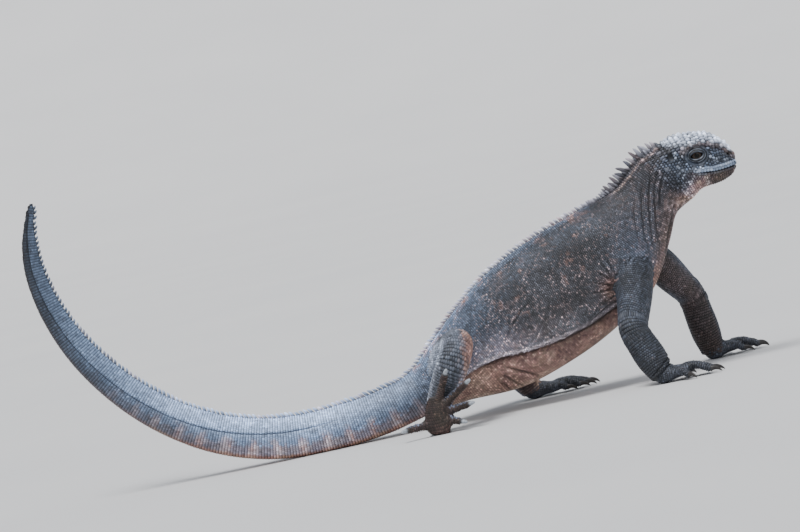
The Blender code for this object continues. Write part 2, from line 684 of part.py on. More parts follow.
def build_head(body, spines):
    head = body_node("head", body, 0, HEAD_END, 3.2, 8, 6, nose=np.array(NOSE))
    additions, cuts = [], []
    for side in (-1, 1):
        centre = mirrored(EYE, side)
        lids = (LID_RADIUS - 0.2, LID_RADIUS + 0.9, LID_RADIUS - 0.7)
        additions.append(ball("lids", centre + (0, -0.6 * side, 0), lids, 14, 9))
        cuts.append(ball("socket", centre, [EYE_RADIUS + GAP] * 3, 14, 9))
        cuts.append(lid_slit(centre, side))
        at, angle = surface_at(body, EAR.x, EAR.z, side)
        spot, out = body.point(at, angle), body.normal(at, angle)
        cuts.append(ball("ear", spot + out * EAR_RADIUS * 0.55, [EAR_RADIUS] * 3, 10, 6))
        at, angle = surface_at(body, NOSTRIL.x, NOSTRIL.z, side)
        spot, out = body.point(at, angle), body.normal(at, angle)
        additions.append(ball("rim", spot - out * 0.3, (1.3, 2.1, 1.8), 10, 6, axis=out))
        cuts.append(ball("nostril", spot + out * 0.9, (1.6, 1.05, 0.8), 8, 6, axis=out))
    combine(head, additions + head_scales(body) + spines_between(body, spines, 0.5, HEAD_END))
    combine(head, cuts + [mouth_cutter(body)], "DIFFERENCE")
    for side, name in ((-1, "right"), (1, "left")):
        ball(f"eye_{name}", mirrored(EYE, side), [EYE_RADIUS] * 3, 16, 10, "eye")


def build_limbs():
    """Makes every limb node, claws included, and returns the stumps that chest and hips carry."""
    stumps = {"chest": [], "hips": []}
    for side, joints, way in (("right", RIGHT_ARM, RIGHT_HAND_WAY), ("left", LEFT_ARM, LEFT_HAND_WAY)):
        loft, stump = limb_nodes(side, ("upper_arm", "forearm"), joints, ARM_GIRTH, ARM_CUTS)
        stumps["chest"].append(stump)
        palm = palm_loft(loft, way, HAND_PALM)
        extremity("hand", side, loft, ARM_CUTS[2], palm, way, UP, KNUCKLES, HAND_DIGITS)
    loft, stump = limb_nodes("left", ("thigh", "shank"), LEFT_LEG, LEG_GIRTH, LEFT_LEG_CUTS)
    stumps["hips"].append(stump)
    palm = palm_loft(loft, LEFT_FOOT_WAY, FOOT_PALM)
    extremity("foot", "left", loft, LEFT_LEG_CUTS[2], palm, LEFT_FOOT_WAY, UP, KNUCKLES, FOOT_DIGITS)
    loft, stump = limb_nodes("right", ("thigh", "shank"), RIGHT_LEG, LEG_GIRTH, RIGHT_LEG_CUTS)
    stumps["hips"].append(stump)
    palm = Loft([[*row, 0, 2.2, 2.2, -0.5, 0] for row in FOLDED_SOLE])
    extremity("foot", "right", loft, RIGHT_LEG_CUTS[2], palm, FOLDED_WAY, FOLDED_BACK,
              FOLDED_KNUCKLES, FOLDED_DIGITS, floor=False)
    return stumps


def main():
    clear_scene()
    body = Loft(body_rows(), sideways=np.array((0, 1.0, 0)))
    spines = crest_table(body)
    stumps = build_limbs()
    build_head(body, spines)
    cuts = (HEAD_END, NECK_END, CHEST_END, BELLY_END, HIPS_END, *TAIL_CUTS)
    names = ("neck", "chest", "belly", "hips", "tail_1", "tail_2", "tail_3", "tail_4", "tail_5")
    tip = np.array((TAIL_TIP[0], 0, TAIL_TIP[1]))
    for i, name in enumerate(names):
        start = cuts[i]
        end = cuts[i + 1] if i + 1 < len(cuts) else body.last
        spacing, upper, lower = (7.0, 5, 4) if name.startswith("tail") else (8.0, 7, 5)
        node = body_node(name, body, start, end, spacing, upper, lower,
                         fold=name in FOLDED, tip=tip if end == body.last else None)
        combine(node, stumps.get(name, []) + spines_between(body, spines, start, end))
        if name in RESTING:
            rest_on_floor(node)


main()
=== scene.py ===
"""The looks of a young marine iguana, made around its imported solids.

Lengths are in millimetres until a mesh is made, which is in metres. The animal faces +X and its
right side is towards -Y. One skin covers the whole animal; scales, crest, lids, eyes and claws
are pieces of their own that stand on it. A row is a flat cross-section of a form, and an angle
goes round it from 0 at the back to pi at the belly, positive on the left.
"""

import math

import bmesh
import bpy
import numpy as np
from mathutils import Matrix, Vector
from mathutils.bvhtree import BVHTree
from mathutils.kdtree import KDTree


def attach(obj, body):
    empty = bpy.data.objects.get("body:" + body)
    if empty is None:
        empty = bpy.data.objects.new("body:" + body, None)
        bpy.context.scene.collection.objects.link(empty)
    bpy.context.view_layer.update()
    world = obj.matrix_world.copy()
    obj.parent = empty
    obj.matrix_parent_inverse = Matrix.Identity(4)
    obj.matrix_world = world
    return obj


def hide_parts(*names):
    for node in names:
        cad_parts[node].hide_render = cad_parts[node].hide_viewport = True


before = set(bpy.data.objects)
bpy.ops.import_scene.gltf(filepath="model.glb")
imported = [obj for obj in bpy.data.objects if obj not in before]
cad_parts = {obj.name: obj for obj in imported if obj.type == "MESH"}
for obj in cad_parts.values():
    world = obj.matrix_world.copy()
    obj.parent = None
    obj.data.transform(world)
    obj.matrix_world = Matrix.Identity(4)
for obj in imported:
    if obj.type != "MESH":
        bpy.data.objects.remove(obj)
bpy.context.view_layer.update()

MM = 0.001
SEED = 11
SIDES = {-1: "right", 1: "left"}

# Camera: where it looks and how it leans, from the photograph.
VIEW_TARGET, VIEW_DISTANCE, VIEW_WIDTH = Vector((0.0063, 0, 0.1158)), 3.0, 0.560
VIEW_RISE, VIEW_ROLL, SENSOR = math.radians(2.5), math.radians(12.5), 36.0

# Head, neck and trunk: back x, z, belly x, z, half width, widest level, roof and keel exponents.
TRUNK = [
    (251.3, 138.2, 250.9, 133.4, 4.6, 0.00, 2.3, 2.2),  # snout
    (249.9, 142.4, 249.4, 130.8, 7.8, -0.05, 2.3, 2.2),
    (247.8, 147.6, 246.8, 128.2, 9.6, -0.10, 2.3, 2.1),  # nostrils
    (243.2, 153.8, 243.0, 126.2, 11.4, -0.12, 2.4, 2.1),
    (236.4, 159.6, 238.4, 124.8, 13.4, -0.10, 2.6, 2.1),
    (224.3, 162.5, 231.0, 124.0, 16.0, -0.10, 2.7, 2.2),  # eyes
    (209.7, 162.8, 223.8, 122.8, 17.8, -0.20, 2.4, 2.3),  # jowls
    (199.2, 158.6, 217.5, 118.4, 16.6, -0.12, 2.1, 2.2),  # nape
    (183.6, 151.6, 209.5, 114.0, 14.6, 0.00, 1.9, 2.0),
    (166.8, 137.2, 202.2, 108.0, 15.8, 0.00, 1.8, 2.0),  # neck
    (154.5, 131.6, 195.6, 94.0, 19.6, -0.05, 1.8, 2.0),
    (137.9, 127.2, 177.7, 63.5, 26.5, -0.05, 1.9, 2.1),  # shoulders
    (103.1, 115.9, 148.0, 42.5, 30.0, -0.18, 1.9, 2.2),
    (64.7, 97.9, 112.1, 25.8, 31.5, -0.28, 1.9, 2.3),  # belly
    (34.7, 75.8, 70.0, 14.0, 26.8, -0.25, 1.9, 2.3),
    (13.2, 56.2, 31.2, 13.0, 18.6, -0.10, 1.9, 2.2),  # hips
    (-3.0, 41.8, 9.0, 10.4, 15.0, 0.00, 1.9, 2.0),
]
NOSE = (252.0, 0, 135.8)
HIPS_END = 15.9  # the row where the tail begins

# The tail's middle line, x and z, and its taper.
TAIL_LINE = [
    (-28, 18.0), (-55, 14.9), (-84, 14.2), (-112, 17.8), (-142, 27.6), (-169, 43.0), (-191.5, 61.6),
    (-210.4, 83.0), (-225, 105.0), (-235.6, 128.0), (-242, 150.0), (-244.6, 170.0), (-243.4, 188.0),
    (-240, 203.0),
]
TAIL_TIP = (-236.4, 213.3)
TAIL_DEPTH, TAIL_HALF_WIDTH = 31.0, 14.0
TAIL_END = [(0.45, 3.2, 1.3), (0.8, 2.4, 1.0), (1.05, 1.3, 0.6)]  # rows between the line's last points

# The skin fold along the flank and the groove along the tail: row, level, depth.
FOLD = [(0, -0.30, 0), (10, -0.45, 0), (11, -0.60, 0.5), (12, -0.60, 1.5), (13, -0.54, 1.8),
        (14, -0.20, 1.4), (15, -0.05, 0.3), (17, -0.10, 0.5), (24, -0.12, 0.5), (29, -0.1, 0.3),
        (31, -0.1, 0.0)]

EYE = np.array((224.6, 12.0, 146.9))
EYE_RADIUS = 5.0
LIDS = (6.5, 8.3, 6.8)  # the lids' half sizes outwards, along the head and up
EYE_SLIT = (8.4, 4.5)  # length and height of the opening between the lids
EAR, EAR_RADIUS = (206.7, 149.6), 3.2
NOSTRIL, NOSTRIL_RADIUS = (246.6, 143.4), 1.15
MOUTH_CORNER, MOUTH_FRONT, MOUTH_SAG = (224.0, 134.6), (250.6, 134.6), 1.2

# Limbs: joints, and half depth and half width at root, upper middle, joint, lower middle, end.
ARM_GIRTH = [(10, 9), (13.2, 11), (10.4, 9.6), (10.8, 9.8), (7.6, 8.4)]
LEG_GIRTH = [(10, 9), (14.5, 12.5), (12.2, 11), (11.6, 10.3), (7.8, 7.8)]
RIGHT_ARM = [(170, -5, 92), (154, -48, 40), (167, -56, 5.7)]
LEFT_ARM = [(174, 5, 93), (204, 50, 49), (211, 58, 5.8)]
RIGHT_LEG = [(17, 0, 36), (42.7, -61.8, 68.5), (10, -55, 16)]
LEFT_LEG = [(19, 0, 36), (58, 54, 52), (79, 56, 6.0)]
TURN_RADIUS = 1.35

# Palms from the wrist: reach forward, height, half depth, half width.
HAND_PALM = [(-5, 0.2, 4.4, 5.8), (0.5, -0.6, 6.0, 8.4), (6.5, 0.4, 5.0, 9.4), (13, 0.8, 4.2, 10.2),
             (17.5, 0.4, 3.4, 8.6)]
FOOT_PALM = [(-5, 0.2, 4.4, 5.4), (0.5, -0.6, 6.0, 7.8), (7, 0.0, 5.0, 8.4), (14, -0.2, 4.2, 9.4),
             (18.5, -0.6, 3.4, 7.6)]
KNUCKLES = (-3.5, 0.6)
RIGHT_HAND_WAY, LEFT_HAND_WAY, LEFT_FOOT_WAY = (1, -0.03, 0), (1, 0.34, 0), (1, 0.1, 0)
UP = (0, 0, 1)
FOLDED_SOLE = [
    (6.0, -53.5, 4.0, 12.0, -65.5, 12.0, 7.4),
    (6.0, -65.0, -1.2, 11.0, -67.5, 10.0, 8.4),
    (7.0, -76.0, 2.2, 10.5, -69.0, 10.5, 9.2),
    (8.0, -78.2, 12.0, 9.0, -70.8, 13.5, 8.2),
    (9.4, -76.6, 24.0, 9.4, -73.6, 24.0, 5.2),
]
FOLDED_WAY, FOLDED_BACK, FOLDED_KNUCKLES = (0.12, 0, 0.99), (0, 1, 0), (-4.5, 0)

# Digits, inner to outer: bearing from the foot's forward line, length, reach back of the root.
HAND_DIGITS = [(-48, 13, 4), (-20, 19, 0), (-2, 21.5, 0), (15, 20, 0), (52, 14, 5)]
FOOT_DIGITS = [(-30, 13, 2), (-15, 19, 0), (-1, 24, 0), (14, 29, 0), (58, 17, 9)]
FOLDED_DIGITS = [(-100, 12, 9), (-74, 19, 5), (-50, 24, 1), (-19, 23, 0), (98, 14, 12)]
DIGIT_RADII, DIGIT_SPREAD, KNUCKLE_RISE, SHORT_DIGIT = (3.0, 2.3), 6.0, 3.2, 15
DIGIT_FLOOR, FOLDED_DROP = 0.9, 1.4
CLAW_LENGTH, CLAW_RADIUS, CLAW_RISE, CLAW_TURN = 8.4, 1.75, math.radians(16), math.radians(72)
CLAW_ROOT = 0.9  # how deep a claw starts in its digit

VOXEL = 1.2  # mm, the skin's first mesh
COAT_DEPTH = 0.35  # mm that the skin lies inside the solids
LOWEST_SKIN, LOWEST_SCALE, LOWEST_CLAW = 0.02, 0.01, 0.05  # mm over the floor
BAKE_PATCH = 0.003  # a scale's patch on its map
SKIN_REACH, CLEARANCE = 1.7, 0.62  # roots: mm to the skin at most, gap to others as a share of size
FLOOR_REACH, DOWNWARD = 0.6, -0.2  # roots this low that face down have no room on the floor
DIGIT_BANDS, BAND_PITCH = 7, 1.55
FOLDED_CLAW, FOLDED_BEND = 1.2, 1.6  # a folded foot's claws are thicker and hook more
RIDGE_RADIUS = 2.5  # of the ridges from the folded sole into its digits
LID_EDGE, LID_THICKNESS, LID_FOLD = 0.985, 0.7, 0.26

FLESH = [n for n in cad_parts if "claw" not in n and not n.startswith("eye")]


def unit(vectors):
    vectors = np.asarray(vectors, float)
    return vectors / np.maximum(np.linalg.norm(vectors, axis=-1, keepdims=True), 1e-9)


def ease(value, low, high):
    """0 below low, 1 above high and smooth between. With low above high it falls instead."""
    t = np.clip((np.asarray(value, float) - low) / (high - low), 0, 1)
    return t * t * (3 - 2 * t)


def span(value, low, full, fading, end):
    """Rises from low to full and falls again from fading to end."""
    return ease(value, low, full) * ease(value, end, fading)


def bump(value, middle, width):
    return np.exp(-(((np.asarray(value, float) - middle) / width) ** 2))


def circle(count):
    return np.linspace(0, 2 * math.pi, count, endpoint=False)


def side_and_up(run, normal):
    """Sideways and up from a run, with up as near to the normal as it can be."""
    side = unit(np.cross(run, normal))
    return side, np.cross(side, run)


def run_of(line):
    """How far along a line of points each of them lies."""
    return np.append(0, np.cumsum(np.linalg.norm(np.diff(line, axis=0), axis=1)))


def side_gap(points, spot, squash=1.0):
    """Distance from a spot of x and z in the side view."""
    return np.hypot(points[:, 0] - spot[0], (points[:, 2] - spot[1]) * squash)


def lid_ring(points):
    """Rings round the eye in the side view: 1 at the lids' outer edge."""
    return np.hypot((points[:, 0] - EYE[0]) / LIDS[1], (points[:, 2] - EYE[2]) / LIDS[2])


def lid_ripple(ring):
    """The height of the folds round the lids."""
    return np.cos((ring - 0.98) * 2 * math.pi / 0.24) * ease(ring, 1.6, 1.2)


def cloud(points, size, seed):
    """Smooth noise from 0 to 1 through space, in lumps about size mm wide."""
    spot = np.asarray(points, float) / size + seed * 17.31
    base = np.floor(spot).astype(np.int64)
    part = spot - base
    part = part * part * (3 - 2 * part)
    total = np.zeros(len(spot))
    for corner in np.ndindex(2, 2, 2):
        cell = base + corner
        number = (cell[:, 0] * 73856093) ^ (cell[:, 1] * 19349663) ^ (cell[:, 2] * 83492791)
        number = ((number ^ (number >> 13)) * 1274126177 + seed * 374761393) & 0x7FFFFFFF
        value = ((number ^ (number >> 15)) & 0xFFFF) / 65535
        weight = np.prod(np.where(corner, part, 1 - part), axis=1)
        total += value * weight
    return total


class Loft:
    """A smooth form through rows of outer xyz, inner xyz, half width, level, roof, keel, fold."""

    def __init__(self, rows, sideways=None):
        self.rows = np.array(rows, float)
        self.last = len(rows) - 1
        self.sideways = sideways
        self.steps = np.linalg.norm(np.diff(self.rows[:, :6], axis=0), axis=1) / math.sqrt(2)
        self.slopes = np.gradient(self.rows, np.append(0, np.cumsum(self.steps)), axis=0)

    def row(self, at):
        at = np.clip(np.asarray(at, float), 0, self.last)
        first = np.minimum(at.astype(int), self.last - 1)
        t, step = (at - first)[..., None], self.steps[first][..., None]
        start, end = self.rows[first], self.rows[first + 1]
        leave, arrive = self.slopes[first] * step, self.slopes[first + 1] * step
        return (start * (2 * t**3 - 3 * t**2 + 1) + leave * (t**3 - 2 * t**2 + t)
                + end * (3 * t**2 - 2 * t**3) + arrive * (t**3 - t**2))

    def frame(self, at):
        row = self.row(at)
        centre, rise = (row[..., :3] + row[..., 3:6]) / 2, (row[..., :3] - row[..., 3:6]) / 2
        if self.sideways is not None:
            return centre, rise, np.broadcast_to(self.sideways, rise.shape), row
        ahead = self.row(np.minimum(np.asarray(at, float) + 0.04, self.last))
        behind = self.row(np.maximum(np.asarray(at, float) - 0.04, 0))
        run = (ahead[..., :3] + ahead[..., 3:6] - behind[..., :3] - behind[..., 3:6]) / 2
        return centre, rise, unit(np.cross(rise, run)), row

    def point(self, at, angle):
        at, angle = np.broadcast_arrays(np.asarray(at, float), np.asarray(angle, float))
        centre, rise, side, row = self.frame(at)
        half, level, roof, keel, fold_level, fold_depth = np.moveaxis(row[..., 6:12], -1, 0)
        c, s = np.cos(angle), np.sin(angle)
        power = 2 / np.where(c > 0, roof, keel)
        across = half * np.sign(s) * np.abs(s) ** power
        height = np.abs(c) ** power
        height = np.where(c > 0, level + (1 - level) * height, level - (1 + level) * height)
        above = height - fold_level
        reach, lip = np.where(above >= 0, 0.16, 0.22), np.where(above >= 0, 1.0, -0.8)
        across = across + np.sign(s) * fold_depth * lip * np.exp(-((above / reach) ** 2)) * np.abs(s)
        return centre + rise * height[..., None] + side * across[..., None]

    def stations(self, start, end, spacing):
        """Rows from start to end, about spacing apart on the middle line."""
        fine = np.linspace(start, end, 600)
        run = run_of(self.frame(fine)[0])
        count = max(2, round(run[-1] / spacing) + 1)
        return np.interp(np.linspace(0, run[-1], count), run, fine)

    def grid(self, start, end, spacing, around):
        """Rings of points, evenly spaced along the form."""
        return self.point(self.stations(start, end, spacing)[:, None], circle(around)[None])


def fold_at(row):
    at, level, depth = np.array(FOLD, float).T
    return np.interp(row, at, level), np.interp(row, at, depth)


def body_loft():
    rows = [[bx, 0, bz, vx, 0, vz, *rest] for bx, bz, vx, vz, *rest in TRUNK]

    def add(middle, heading, deep, half):
        up = unit((heading[1], -heading[0])) * deep
        (bx, bz), (vx, vz) = middle + up, middle - up
        rows.append([bx, 0, bz, vx, 0, vz, half, 0.05, 1.8, 2.1])

    bx, bz, vx, vz = TRUNK[-1][:4]
    line = np.array([((bx + vx) / 2, (bz + vz) / 2), *TAIL_LINE, TAIL_TIP], float)
    run = run_of(line)
    for i, share in enumerate((run / run[-1])[1:-1], 1):
        deep = TAIL_DEPTH / 2 * (1 - share**1.9) ** (0.57 - 0.06 * ease(share, 0.75, 0.95))
        add(line[i], line[i + 1] - line[i - 1], deep, TAIL_HALF_WIDTH * (1 - share) ** 0.65)
    heading = line[-1] - line[-2]
    for share, deep, half in TAIL_END:
        add(line[-2] + heading * share, heading, deep, half)
    return Loft([row + list(fold_at(i)) for i, row in enumerate(rows)], np.array((0, 1.0, 0)))


def limb_loft(joints, girth):
    """A limb of two bones. The bend turns about a pivot inside it, so no rings cross."""
    root, bend, end = (np.array(p, float) for p in joints)
    first, second = unit(bend - root), unit(end - bend)
    out = unit(first - second)
    depth, width = girth[2]
    turn_radius = TURN_RADIUS * depth
    pivot = bend - out * turn_radius / math.sqrt((1 + first @ second) / 2)
    up_first = unit(out - first * (out @ first))
    up_second = unit(out - second * (out @ second))
    turn = math.acos(up_first @ up_second)

    def row(centre, up, deep, half):
        return [*(centre + up * deep), *(centre - up * deep), half, 0, 2.1, 2.1, -0.5, 0]

    rows = [row(root, up_first, *girth[0]), row(root + (bend - root) * 0.45, up_first, *girth[1])]
    for share in (0.0, 0.25, 0.5, 0.75, 1.0):
        up = unit(up_first * math.sin((1 - share) * turn) + up_second * math.sin(share * turn))
        rows.append(row(pivot + up * turn_radius, up, depth, width))
    rows += [row(bend + (end - bend) * 0.72, up_second, *girth[3]), row(end, up_second, *girth[4])]
    return Loft(rows)


def palm_loft(limb, way, palm):
    forward, normal = unit(way), np.array(UP, float)
    wrist = limb.frame(limb.last)[0]
    rows = []
    for reach, height, deep, half in palm:
        centre = wrist + forward * reach + normal * height
        rows.append([*(centre - normal * deep), *(centre + normal * deep), half,
                     0, 2.2, 2.2, -0.5, 0])
    return Loft(rows)


def digit_lines(side, palm, way, normal, knuckles, digits, floor):
    """The middle line and radii of each digit, finely stepped from the solids' own joints."""
    normal = unit(normal)
    forward = unit(np.array(way, float) - normal * (np.array(way, float) @ normal))
    outwards = np.cross(forward, normal) * (1 if side == "right" else -1)
    root = palm.frame(palm.last)[0] + forward * knuckles[0] + normal * knuckles[1]
    wide, narrow = DIGIT_RADII
    lines = []
    for bearing, length, back in digits:
        turn = math.radians(bearing)
        aim = forward * math.cos(turn) + outwards * math.sin(turn)
        start = root - forward * back + outwards * math.sin(turn) * DIGIT_SPREAD
        knuckle = KNUCKLE_RISE if length > SHORT_DIGIT else KNUCKLE_RISE / 2
        drop = start[2] - narrow - DIGIT_FLOOR if floor else FOLDED_DROP
        share = np.linspace(0, 1, 18)[:, None]
        arch = knuckle * np.sin(math.pi * share**0.8) - drop * share
        line = start + aim * length * share + normal * arch
        radii = wide + (narrow - wide) * share + 0.28 * np.sin(share * math.pi * 3) ** 2
        lines.append((line, radii[:, 0], normal))
    return lines


class Limb:
    """One limb with its palm and digits."""

    def __init__(self, name, side, joints, girth, way, palm_rows, digits, normal=UP,
                 knuckles=KNUCKLES, floor=True):
        self.name, self.side, self.floor = name, side, floor
        self.loft = limb_loft(joints, girth)
        if floor:
            self.palm = palm_loft(self.loft, way, palm_rows)
        else:
            self.palm = Loft([[*row, 0, 2.2, 2.2, -0.5, 0] for row in palm_rows])
        self.digits = digit_lines(side, self.palm, way, normal, knuckles, digits, floor)


BODY = body_loft()
LIMBS = [
    Limb("hand", "right", RIGHT_ARM, ARM_GIRTH, RIGHT_HAND_WAY, HAND_PALM, HAND_DIGITS),
    Limb("hand", "left", LEFT_ARM, ARM_GIRTH, LEFT_HAND_WAY, HAND_PALM, HAND_DIGITS),
    Limb("foot", "right", RIGHT_LEG, LEG_GIRTH, FOLDED_WAY, FOLDED_SOLE, FOLDED_DIGITS,
         FOLDED_BACK, FOLDED_KNUCKLES, False),
    Limb("foot", "left", LEFT_LEG, LEG_GIRTH, LEFT_FOOT_WAY, FOOT_PALM, FOOT_DIGITS),
]


# Mesh helpers


def ring_faces(count, around, base=0, closed=False):
    """Quads from each ring of points to the next, and from the last to the first if closed."""
    faces = []
    for i in range(count if closed else count - 1):
        a, b = base + i * around, base + (i + 1) % count * around
        faces += [(a + j, a + (j + 1) % around, b + (j + 1) % around, b + j) for j in range(around)]
    return faces


def add_rings(store, rings, start_tip=None, end_tip=None):
    """Adds a closed tube over rings to a store of points and faces, each end capped or pointed."""
    points, faces = store
    base, (count, around) = len(points), rings.shape[:2]
    points.extend(rings.reshape(-1, 3).tolist())
    faces.extend(ring_faces(count, around, base))
    for tip, first in ((start_tip, base), (end_tip, base + (count - 1) * around)):
        if tip is None:
            faces.append(tuple(range(first, first + around)))
        else:
            faces.extend((first + j, first + (j + 1) % around, len(points)) for j in range(around))
            points.append(list(tip))


def mesh_of(name, points, faces, smooth=True):
    mesh = bpy.data.meshes.new(name)
    mesh.from_pydata((np.asarray(points, float) * MM).tolist(), [], faces)
    grid = bmesh.new()
    grid.from_mesh(mesh)
    bmesh.ops.recalc_face_normals(grid, faces=grid.faces)
    if grid.calc_volume(signed=True) < 0:
        bmesh.ops.reverse_faces(grid, faces=grid.faces)
    grid.to_mesh(mesh)
    grid.free()
    if smooth:
        mesh.shade_smooth()
    return mesh


def place(name, data, finish=None):
    made = bpy.data.objects.new(name, data)
    if finish:
        data.materials.append(finish)
    bpy.context.scene.collection.objects.link(made)
    return made


def coordinates(mesh):
    found = np.empty(len(mesh.vertices) * 3)
    mesh.vertices.foreach_get("co", found)
    return found.reshape(-1, 3) / MM


def normals(mesh):
    found = np.empty(len(mesh.vertices) * 3, np.float32)
    mesh.vertex_normals.foreach_get("vector", found)
    return found.reshape(-1, 3).astype(float)


def move_to(mesh, points):
    mesh.vertices.foreach_set("co", (points * MM).ravel())
    mesh.update()


def lift_to(mesh, low):
    """Brings every point that lies lower up to a level."""
    points = coordinates(mesh)
    points[:, 2] = np.maximum(points[:, 2], low)
    move_to(mesh, points)


def store_values(mesh, **fields):
    """Keeps a number, vector or colour for each vertex, under each of the names."""
    kinds = {1: ("FLOAT", "value"), 3: ("FLOAT_VECTOR", "vector"), 4: ("FLOAT_COLOR", "color")}
    for name, values in fields.items():
        values = np.ascontiguousarray(values, np.float32).ravel()
        kind, field = kinds[len(values) // len(mesh.vertices)]
        mesh.attributes.new(name, kind, "POINT").data.foreach_set(field, values)


def tree_of(spots):
    tree = KDTree(len(spots))
    for i, spot in enumerate(spots):
        tree.insert(spot, i)
    tree.balance()
    return tree


def finish_mesh(obj):
    """The object's evaluated shape as a plain mesh, with its modifiers gone."""
    graph = bpy.context.evaluated_depsgraph_get()
    mesh = bpy.data.meshes.new_from_object(obj.evaluated_get(graph), depsgraph=graph)
    obj.modifiers.clear()
    old, obj.data = obj.data, mesh
    bpy.data.meshes.remove(old)
    return obj


def tube_rings(line, radii, normal, sides, squash=0.94):
    side, up = side_and_up(unit(np.gradient(line, axis=0)), normal)
    turns = circle(sides)[None, :, None] + math.pi / sides
    return line[:, None] + radii[:, None, None] * (
        up[:, None] * np.cos(turns) * squash + side[:, None] * np.sin(turns))


def ball_rings(turns, sides, long, wide, tall):
    """Rings of an egg round the sideways axis, at given turns from its left end."""
    turns, around = turns[:, None], circle(sides)[None]
    return np.stack([np.sin(turns) * np.cos(around) * long, (np.cos(turns) + 0 * around) * wide,
                     np.sin(turns) * np.sin(around) * tall], axis=2)


class Places:
    """Says which form a point belongs to, and where on it, by the nearest point of a fine grid.

    Its last value is how far the place faces forward, or up on a digit.
    """

    def __init__(self):
        spots, rows = [], []
        forms = [BODY] + [limb.loft for limb in LIMBS] + [limb.palm for limb in LIMBS]
        angles = np.linspace(-math.pi, math.pi, 48, endpoint=False)
        for number, form in enumerate(forms):
            at, angle = np.meshgrid(form.stations(0, form.last, 2.0), angles, indexing="ij")
            ring = form.point(at, angle)
            facing = unit(ring - form.frame(at)[0])
            inward = facing[..., 1] * -np.sign(ring[..., 1])
            row = np.stack([0 * at + number, at, angle, inward, facing[..., 0]], 2)
            spots.append(ring.reshape(-1, 3))
            rows.append(row.reshape(-1, 5))
        for number, limb in enumerate(LIMBS, len(forms)):
            for line, radii, _ in limb.digits:
                share, none = np.linspace(0, 1, len(line)), np.zeros(len(line))
                for shift in tube_rings(line, radii, np.array(UP, float), 8).transpose(1, 0, 2):
                    upward = unit(shift - line)[:, 2]
                    spots.append(shift)
                    rows.append(np.column_stack([none + number, share, none, none, upward]))
        self.rows, self.tree = np.vstack(rows), tree_of(np.vstack(spots))

    def find(self, points):
        return self.rows[[self.tree.find(p)[1] for p in points]].T


PLACES = Places()


# The skin


def skin_core():
    """Every form of the flesh as closed overlapping tubes, joined by a voxel mesh."""
    store = ([], [])
    tail_end = np.array((TAIL_TIP[0] + 0.4, 0, TAIL_TIP[1] + 1.3))
    add_rings(store, BODY.grid(0, BODY.last, 1.6, 72), NOSE, tail_end)

    def rounded(rings, centre, ahead, steps):
        """Rings with smaller ones added beyond the last, each a reach ahead and a size."""
        ends = [centre + ahead * reach + (rings[-1] - centre) * size for reach, size in steps]
        return np.concatenate([rings, ends])

    for limb in LIMBS:
        add_rings(store, limb.loft.grid(0, limb.loft.last, 1.5, 40))
        palm = limb.palm.grid(0, limb.palm.last, 1.2, 32)
        first, second, before, last = (palm[i].mean(0) for i in (0, 1, -2, -1))
        ahead = unit(last - before)
        add_rings(store, rounded(palm, last, ahead, ((1.8, 0.84), (3.2, 0.5))),
                  first - unit(second - first) * 2, last + ahead * 3.8)
        for line, radii, normal in limb.digits:
            tube, ahead = tube_rings(line, radii, normal, 14), unit(line[-1] - line[-2]) * radii[-1]
            add_rings(store, rounded(tube, line[-1], ahead, ((0.35, 0.86), (0.6, 0.6))), None,
                      line[-1] + ahead * 0.7)
            if not limb.floor:  # a ridge from the folded sole into the digit
                heel = limb.palm.frame(limb.palm.last * 0.4)[0] - (0, 3.4, 0)
                ridge = np.linspace(heel * 0.75 + line[0] * 0.25, line[0] - (0, 0.8, 0), 6)
                add_rings(store, tube_rings(ridge, np.full(6, RIDGE_RADIUS), normal, 12))
    for side in SIDES:
        turns = np.linspace(0.12, math.pi - 0.12, 14)
        add_rings(store, EYE * (1, side, 1) - (0, 0.6 * side, 0)
                  + ball_rings(turns, 28, LIDS[1], LIDS[0] - 1.0, LIDS[2]))
    skin = place("skin", mesh_of("skin", *store))
    remesh = skin.modifiers.new("voxels", "REMESH")
    remesh.mode = "VOXEL"
    remesh.voxel_size = VOXEL * MM
    remesh.use_smooth_shade = True
    return finish_mesh(skin)


EVEN_OUT = (0.5, -0.52)  # the pulls that smooth a mesh and then swell it back


def relax(mesh, pulls, weight=1.0):
    """Moves each point of a mesh by every pull towards the middle of its neighbours, or away."""
    points = coordinates(mesh)
    edges = np.empty(len(mesh.edges) * 2, np.int32)
    mesh.edges.foreach_get("vertices", edges)
    a, b = edges.reshape(-1, 2).T
    degree = np.maximum(np.bincount(np.concatenate([a, b]), minlength=len(points)), 1)[:, None]
    for pull in pulls:
        total = np.zeros_like(points)
        for axis in range(3):
            total[:, axis] = (np.bincount(a, points[b, axis], len(points))
                              + np.bincount(b, points[a, axis], len(points)))
        points += (total / degree - points) * pull * weight
    move_to(mesh, points)


def refine(mesh, chosen):
    """Splits the faces whose corners are all chosen into four."""
    grid = bmesh.new()
    grid.from_mesh(mesh)
    edges = [e for e in grid.edges if chosen[e.verts[0].index] and chosen[e.verts[1].index]]
    bmesh.ops.subdivide_edges(grid, edges=edges, cuts=1, use_grid_fill=True, smooth=0.35)
    bmesh.ops.triangulate(grid, faces=[f for f in grid.faces if len(f.verts) > 4])
    grid.to_mesh(mesh)
    grid.free()
    mesh.shade_smooth()


